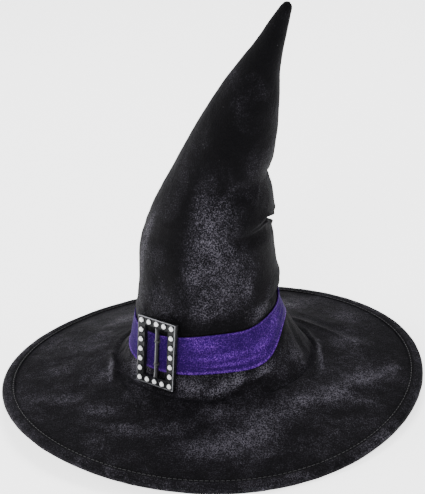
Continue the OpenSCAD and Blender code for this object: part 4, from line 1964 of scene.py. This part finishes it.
@dataclass
class Band:
    """The purple band round the crown, with its creases, selvedges and lap."""

    crown: CrownForm
    line: BandLine
    gap: float = 0.25
    thickness: float = 1.05
    lap_from: float = 81.0
    lap_to: float = 99.0
    selvedge_scale: float = 31.0
    creases: tuple[Fold, ...] = (
        Fold((-112, 65.5), (-62, 63.5), 1.4, 1.7, VALLEY), Fold((-112, 62), (-64, 60.4), 1.6, 1.1),
        Fold((-92, 71), (-58, 68), 1.1, 0.9, VALLEY), Fold((-78, 66.5), (-60, 63), 1, 0.7, VALLEY),
        Fold((-66, 84), (-40, 86), 1.4, 0.6, VALLEY), Fold((-62, 74), (-36, 84), 1.5, 0.7),
        Fold((-54, 68), (-32, 80), 1.2, 0.7, VALLEY), Fold((-46, 68), (-26, 77), 1.3, 0.6),
        Fold((-34, 84), (-10, 90), 1.4, 0.8, VALLEY), Fold((-20, 80), (4, 86), 1.4, 0.7),
        Fold((20, 90), (60, 84), 1.8, 0.6, VALLEY), Fold((120, 80), (160, 70), 1.8, 0.6, VALLEY),
        Fold((-170, 66), (-145, 62), 1.5, 0.7, VALLEY), Fold((-160, 74), (-135, 70), 1.6, 0.6),
    )

    # Patches of painted sheen, and a strip of painted shade along the lower crease.
    patches: tuple[Patch, ...] = (
        Patch((-84, 68), (26, 3), 4, 0.60), Patch((-74, 62.5), (30, 1.6), 2, 0.65),
        Patch((-96, 80), (16, 6), 0, 0.40), Patch((-52, 70), (16, 4), 22, 0.55),
        Patch((-30, 84), (12, 5), 30, 0.40), Patch((-150, 66), (8, 12), 0, 0.45),
        Patch((60, 84), (24, 5), 0, 0.50), Patch((130, 74), (24, 5), -8, 0.50),
        Patch((-66, 64.6), (30, 1.1), 3, -0.70),
    )

    def shine(self, piece: Piece) -> None:
        """Paints sheen into the ribbon in streaks, with highlight lines along its selvedges.

        Args:
            piece: The piece.
        """
        points = places_of(piece) / MM
        z, angle = points[:, 2], self.crown.direction(points)
        share = self.line.share(z, angle)
        low, high = share * self.selvedge_scale, (1.0 - share) * self.selvedge_scale
        # Painted highlight lines along both selvedges, brighter on the lower one.
        selvedge = 0.9 * hill(low - 0.9, 0.8) + 0.4 * hill(high - 0.9, 0.8)
        paint_sheen(piece, brushed(self.patches, on_crown(self.crown), angle, z) + selvedge)

    def surface(self, share: Array, angle: Array, lift: float) -> Array:
        """The band's good side.

        Args:
            share: From 0 at its lower edge to 1 at its upper one.
            angle: Directions in degrees.
            lift: How far it lies off the velvet.

        Returns:
            One place per row.
        """
        z = self.line.height(share, angle)
        width = self.line.height(np.ones_like(share), angle) - self.line.height(np.zeros_like(share), angle)
        in_from_edge = np.minimum(share, 1.0 - share) * width
        at = self.crown.point(z, angle, 0.0)
        crease = folded(self.creases, on_crown(self.crown), angle, z) * smooth(in_from_edge / 2.5)
        puffed = 0.45 * np.sin(np.pi * share) + 0.30 * rumple(at, 15.0, 5.0) + 0.14 * rumple(at, 5.5, 8.0)
        selvedge = 0.45 * hill(in_from_edge - 0.7, 0.55) - 0.2 * hill(in_from_edge - 2.1, 0.8)
        rise = np.maximum(crease + puffed * smooth(in_from_edge / 3.0) + selvedge, -0.75)
        return self.crown.point(z, angle, lift + rise)

    def build_ribbon(self) -> None:
        """Wraps the band round the crown."""
        lift = self.gap + self.thickness
        band = cloth_of("hat_band_ribbon", 420, 30, lambda u, v: self.surface(v, u * FULL_TURN, lift),
                        (0.0, 0.0, 76.0), self.thickness - 0.1)
        self.shine(band)
        seat(band, Body.HAT, PURPLE_VELVET, "hat_band")

    def build_lap(self) -> None:
        """Laps the band's turned-under end over its start at the back."""
        lift = self.gap + 2 * self.thickness + 0.15

        def place(across: Array, along: Array) -> Array:
            """Lays the end over the band and rounds its fold.

            Args:
                across: Shares along the first side.
                along: Shares along the second.

            Returns:
                Places in millimetres.
            """
            angle = self.lap_from + (self.lap_to - self.lap_from) * across
            ends = 0.5 * hill(np.minimum(across, 1 - across) * 25.0 - 1.2, 1.0)
            share = 0.015 + 0.97 * along
            base = self.surface(share, angle, lift)
            out = base - np.column_stack([self.crown.centre(base[:, 2]), np.zeros((len(base), 2))])
            out[:, 2] = 0.0
            out /= np.linalg.norm(out, axis=1)[:, None]
            return base + out * ends[:, None]

        lap = cloth_of("hat_band_lap", 36, 30, place, (0.0, 0.0, 76.0), self.thickness)
        self.shine(lap)
        seat(lap, Body.HAT, PURPLE_VELVET, "band_lap")
        self.build_lap_stitches(lift)

    def build_lap_stitches(self, lift: float) -> None:
        """Sews the lap down with a column of small slip stitches.

        Args:
            lift: The lap's height off the velvet.
        """
        count = 11
        share = (np.arange(count) + 0.5) / count
        angle = np.full(count, self.lap_from + 0.6)
        here, ahead = self.surface(share, angle, lift + 0.35), self.surface(share + 0.02, angle, lift + 0.35)
        spots = [facing(at, Vector(beyond - at), Vector((at[0], at[1], 0.0)))
                 for at, beyond in zip(here, ahead)]
        stitches = repeated("hat_band_lap_thread", stitch_model(1.9, 0.2), spots)
        seat(stitches, Body.HAT, BLACK_THREAD)

    def build(self) -> None:
        """Makes all of the band."""
        self.build_ribbon()
        self.build_lap()


# ---- the buckle


@dataclass
class Buckle:
    """The black buckle with its bar, its stones and the thread that ties it to the band."""

    stone_names: list[str] = field(init=False)
    to_hat: Matrix = field(init=False)
    places: list[Vector] = field(init=False)
    size: list[float] = field(init=False)
    rail: float = 8.2
    depth: float = 5.0
    bar_depth: float = 2.4
    bar_radius: float = 2.0
    stone: float = 5.1
    pocket: float = 0.9
    # Width of the painted highlight lines round the frame's outer edge.
    painted_highlight_within: float = 1.5

    def __post_init__(self) -> None:
        """Finds the buckle's own frame from its four corner stones."""
        self.stone_names = sorted(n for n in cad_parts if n.startswith("rhinestone_"))
        ordered = [Vector(corners(name).mean(0)) for name in self.stone_names]
        low_left, low_right, top_left, top_right = ordered[0], ordered[4], ordered[-5], ordered[-1]
        x = (low_right - low_left).normalized()
        y = (top_left - low_left).normalized()
        z = x.cross(y)
        middle = (low_left + low_right + top_left + top_right) / 4
        points = corners("buckle_frame")
        front = max((Vector(p) - middle).dot(z) for p in points)
        self.size = [2 * max(abs((Vector(p) - middle).dot(axis)) for p in points) for axis in (x, y)]
        origin = middle + z * front
        self.to_hat = Matrix.Translation(origin * MM) @ Matrix((x, y, z)).transposed().to_4x4()
        self.places = [Vector(((s - origin).dot(x), (s - origin).dot(y), -self.pocket)) for s in ordered]

    def spot(self, at: Sequence[float], turn: float = 0.0) -> Matrix:
        """A spot in the buckle's own frame, turned about its front, as placed on the hat."""
        return self.to_hat @ Matrix.Translation(Vector(at) * MM) @ Matrix.Rotation(turn, 4, "Z")

    def ring_frame(self) -> Piece:
        """Makes the frame: a block whose middle is opened, with a stepped and rounded face and painted
        highlight lines round its outer edge.

        Returns:
            The frame, in the buckle's own frame.
        """
        width, height = self.size
        clear_selection()
        bpy.ops.mesh.primitive_cube_add(size=1.0, location=(0, 0, -self.depth / 2 * MM),
                                        scale=(width * MM, height * MM, self.depth * MM))
        block = added("buckle_frame_moulding")
        with on_faces(block, lambda f: abs(f.normal.z) > 0.9):
            bpy.ops.mesh.inset(thickness=self.rail * MM)
            bpy.ops.mesh.bridge_edge_loops()
        with on_faces(block, lambda f: f.normal.z > 0.9):
            bpy.ops.mesh.inset(thickness=0.75 * MM, use_boundary=True)
            bpy.ops.transform.translate(value=(0, 0, -0.45 * MM))
        bevel(block, 0.45, 3, 30)
        # Painted highlight lines: the bevels round the outer edge get a lighter colour, brighter on the top
        # and right sides.
        painted_highlight_line = block.data.attributes.new("painted_highlight_line", "FLOAT", "FACE")
        side, end = ((size / 2 - self.painted_highlight_within) * MM for size in (width, height))
        for face, mark in zip(block.data.polygons, painted_highlight_line.data):
            x, y, _ = face.center
            outer = abs(x) > side or abs(y) > end
            lit = 0.9 if max(x, y) > side else 0.35
            mark.value = lit if outer and 0.2 < face.normal.z < 0.97 else 0.0
        return block

    def cup(self) -> Piece:
        """Makes a stone's cup, with a sunk seat inside a rounded rim.

        Returns:
            The cup, about the origin.
        """
        radius = self.stone / 2 + 0.55
        clear_selection()
        bpy.ops.mesh.primitive_cylinder_add(vertices=20, radius=radius * MM, depth=1.0 * MM,
                                            location=(0, 0, -0.35 * MM))
        cup = added("cup")
        with on_faces(cup, lambda f: f.normal.z > 0.9):
            bpy.ops.mesh.inset(thickness=0.45 * MM)
            bpy.ops.mesh.extrude_region_move(TRANSFORM_OT_translate={"value": (0, 0, -0.7 * MM)})
        bevel(cup, 0.16, 2, 40)
        return cup

    def claw(self) -> Piece:
        """Makes a small claw that leans over a stone's edge.

        Returns:
            The claw, about the origin.
        """
        clear_selection()
        bpy.ops.mesh.primitive_uv_sphere_add(segments=8, ring_count=6, radius=0.34 * MM)
        claw = added("claw")
        with editing():
            bpy.ops.transform.resize(value=(1.5, 0.9, 1.3), center_override=(0, 0, 0))
        return claw

    def cut_stone(self) -> Piece:
        """Makes one stone: a round girdle, two rows of crown facets and a flat table.

        Returns:
            The stone, about the origin.
        """
        radius = self.stone / 2
        clear_selection()
        bpy.ops.mesh.primitive_cylinder_add(vertices=12, radius=radius * MM, depth=self.pocket * MM,
                                            location=(0, 0, self.pocket / 2 * MM))
        stone = added("stone")
        for rise, narrow, turn in ((0.75, 0.80, 15.0), (0.55, 0.66, 15.0)):
            with on_faces(stone, lambda f: f.normal.z > 0.9):
                bpy.ops.mesh.extrude_region_move(TRANSFORM_OT_translate={"value": (0, 0, rise * MM)})
                bpy.ops.transform.resize(value=(narrow, narrow, 1.0), center_override=(0, 0, 0))
                bpy.ops.transform.rotate(value=math.radians(turn), orient_axis="Z", center_override=(0, 0, 0))
        modify(stone, "TRIANGULATE")
        return stone

    def build_frame(self) -> None:
        """Makes the frame with its cups and claws."""
        block = self.ring_frame()
        block.data.transform(self.to_hat)
        seats = [self.spot((p.x, p.y, 0.25)) for p in self.places]
        cups = repeated("cups", self.cup(), seats)
        turns = [math.radians(45 + 90 * k) for k in range(4)]
        reach = self.stone / 2 + 0.05
        grips = [self.spot((p.x + reach * math.cos(t), p.y + reach * math.sin(t), 0.55), t)
                 for p in self.places for t in turns]
        claws = repeated("claws", self.claw(), grips)
        whole = joined("buckle_frame_moulding", [block, cups, claws])
        take(whole)
        bpy.ops.object.shade_smooth_by_angle(angle=math.radians(32))
        seat(whole, Body.BUCKLE, BUCKLE_PLASTIC, "buckle_frame")

    def build_bar(self) -> None:
        """Makes the bar, waisted in the middle, collared where it enters the frame and with a painted
        highlight line down one side.
        """
        length = self.size[1] - 2 * self.rail
        clear_selection()
        bpy.ops.mesh.primitive_cylinder_add(vertices=28, radius=self.bar_radius * MM, depth=length * MM,
                                            rotation=(math.pi / 2, 0, 0))
        bar = added("buckle_bar_moulding")
        with editing():
            for place in np.linspace(-0.5, 0.5, 25)[1:-1]:
                bpy.ops.mesh.select_all(action="SELECT")
                bpy.ops.mesh.bisect(plane_co=(0, place * length * MM, 0), plane_no=(0, 1, 0))
        points = places_of(bar) / MM
        share = np.abs(points[:, 1]) / (length / 2)
        collar = 0.25 * smooth((share - 0.90) / 0.04)
        points[:, (0, 2)] *= (0.94 + 0.04 * share**2 + collar)[:, None]
        points[:, 2] -= self.bar_depth
        set_places(bar, points)
        # A painted highlight line down one side of the bar.
        painted_highlight_line = bar.data.attributes.new("painted_highlight_line", "FLOAT", "POINT")
        painted_highlight_line.data.foreach_set("value", (0.75 * hill(points[:, 0] + 0.9, 0.8)).astype(np.float32))
        bevel(bar, 0.15, 2, 40)
        bpy.ops.object.shade_smooth_by_angle(angle=math.radians(40))
        bar.data.transform(self.to_hat)
        seat(bar, Body.BUCKLE, BUCKLE_PLASTIC, "buckle_bar")

    def build_stones(self) -> None:
        """Sets one cut stone in every cup, each turned a little differently."""
        model = self.cut_stone()
        for index, (name, at) in enumerate(zip(self.stone_names, self.places)):
            turn = math.radians(37.0 * index)
            stone = repeated(f"{name}_cut", model, [self.spot(at, turn)], keep=True)
            seat(stone, Body.BUCKLE, RHINESTONE, name)
        bpy.data.objects.remove(model)

    def build_tacks(self) -> None:
        """Winds two tacks of thread round the bar, four turns in each."""
        turns = 4
        clear_selection()
        bpy.ops.mesh.primitive_torus_add(major_segments=28, minor_segments=8, major_radius=2.38 * MM,
                                         minor_radius=0.24 * MM, rotation=(math.pi / 2, 0, 0))
        loop = added("loop")
        bpy.ops.object.shade_smooth()
        spots = []
        for side in (-11.0, 11.0):
            for k in range(turns):
                lean = Matrix.Rotation(math.radians(3.0 * (k - 1.5)), 4, "X")
                at = (0.0, side + 0.5 * (k - 1.5), -self.bar_depth)
                spots.append(self.spot(at) @ lean)
        tacks = repeated("buckle_tack_loops", loop, spots)
        seat(tacks, Body.HAT, BLACK_THREAD, "buckle_tack_thread")

    def build(self) -> None:
        """Makes all of the buckle."""
        self.build_frame()
        self.build_bar()
        self.build_stones()
        self.build_tacks()


# ---- the studio


@dataclass
class Lamp:
    """A soft square light."""

    name: str
    at: Place
    size: float
    power: float
    colour: Colour = (1.0, 1.0, 1.0)

    def build(self, target: Vector) -> None:
        """Hangs the light and turns it to the hat.

        Args:
            target: The place that it lights.
        """
        light = bpy.data.lights.new(self.name, "AREA")
        light.shape = "SQUARE"
        light.size = self.size
        light.energy = self.power
        light.color = self.colour
        lamp = placed(self.name, light)
        lamp.location = self.at
        lamp.rotation_euler = (target - Vector(self.at)).to_track_quat("-Z", "Y").to_euler()


@dataclass
class Studio:
    """A pale floor, soft lights and the camera, in metres and degrees."""

    target: Vector = field(default_factory=lambda: Vector((0.0, 0.0, 0.1491)))
    elevation: float = 24.073
    roll: float = 3.2
    distance: float = 1.6
    aside: float = 0.00724
    below: float = 0.0032
    lens: float = 126.38
    sky: Colour = (0.96, 0.97, 1.0)
    sky_strength: float = 0.55
    floor_glow: float = 2.2
    lamps: tuple[Lamp, ...] = (
        Lamp("front softbox", (-0.55, -1.9, 1.25), 0.7, 34.0),
        Lamp("top softbox", (0.25, 0.9, 1.9), 1.1, 46.0),
        Lamp("left softbox", (-1.9, 0.5, 0.7), 0.9, 30.0),
        Lamp("right fill", (1.8, -0.8, 1.4), 1.0, 7.0),
    )

    def build_floor(self) -> None:
        """Lays a pale seamless floor under the brim."""
        clear_selection()
        bpy.ops.mesh.primitive_plane_add(size=30.0, location=(0, 0, float(CAD_BOX[0][2]) - 0.0004))
        floor = added("studio_floor")
        paint = bpy.data.materials.new("pale floor")
        paint.use_nodes = True
        shader = paint.node_tree.nodes["Principled BSDF"]
        look = {"Base Color": (0.95, 0.95, 0.95, 1.0), "Roughness": 0.85,
                "Emission Color": (1.0, 1.0, 1.0, 1.0), "Emission Strength": self.floor_glow}
        for key, value in look.items():
            shader.inputs[key].default_value = value
        floor.data.materials.append(paint)

    def build_sky(self) -> None:
        """Surrounds the hat with an even pale light."""
        world = bpy.data.worlds.new("studio")
        world.use_nodes = True
        background = world.node_tree.nodes["Background"]
        background.inputs["Color"].default_value = (*self.sky, 1.0)
        background.inputs["Strength"].default_value = self.sky_strength
        bpy.context.scene.world = world

    def build_camera(self) -> None:
        """Sets the camera a little above the brim, rolled slightly."""
        e, r = math.radians(self.elevation), math.radians(self.roll)
        back = Vector((0.0, -math.cos(e), math.sin(e)))
        right, up = Vector((1.0, 0.0, 0.0)), Vector((0.0, math.sin(e), math.cos(e)))
        across = right * math.cos(r) - up * math.sin(r)
        upward = right * math.sin(r) + up * math.cos(r)
        data = bpy.data.cameras.new("camera")
        data.lens = self.lens
        data.sensor_width = 36.0
        camera = placed("camera", data)
        turn = Matrix((across, upward, back)).transposed().to_4x4()
        at = self.target + back * self.distance + across * self.aside - upward * self.below
        camera.matrix_world = Matrix.Translation(at) @ turn
        bpy.context.scene.camera = camera

    def build(self) -> None:
        """Makes the floor, the lights and the camera."""
        self.build_floor()
        self.build_sky()
        for lamp in self.lamps:
            lamp.build(self.target)
        self.build_camera()


def main() -> None:
    """Builds the hat's parts in order, then the studio."""
    logging.basicConfig(level=logging.INFO, format="%(name)s: %(message)s")
    crown_form, brim_form = CrownForm(), BrimForm()
    band_line = BandLine(crown_form)
    Studio().build()
    Brim(brim_form).build()
    Crown(crown_form, band_line).build()
    Opening(crown_form, brim_form).build()
    Band(crown_form, band_line).build()
    Buckle().build()


if __name__ == "__main__":
    main()
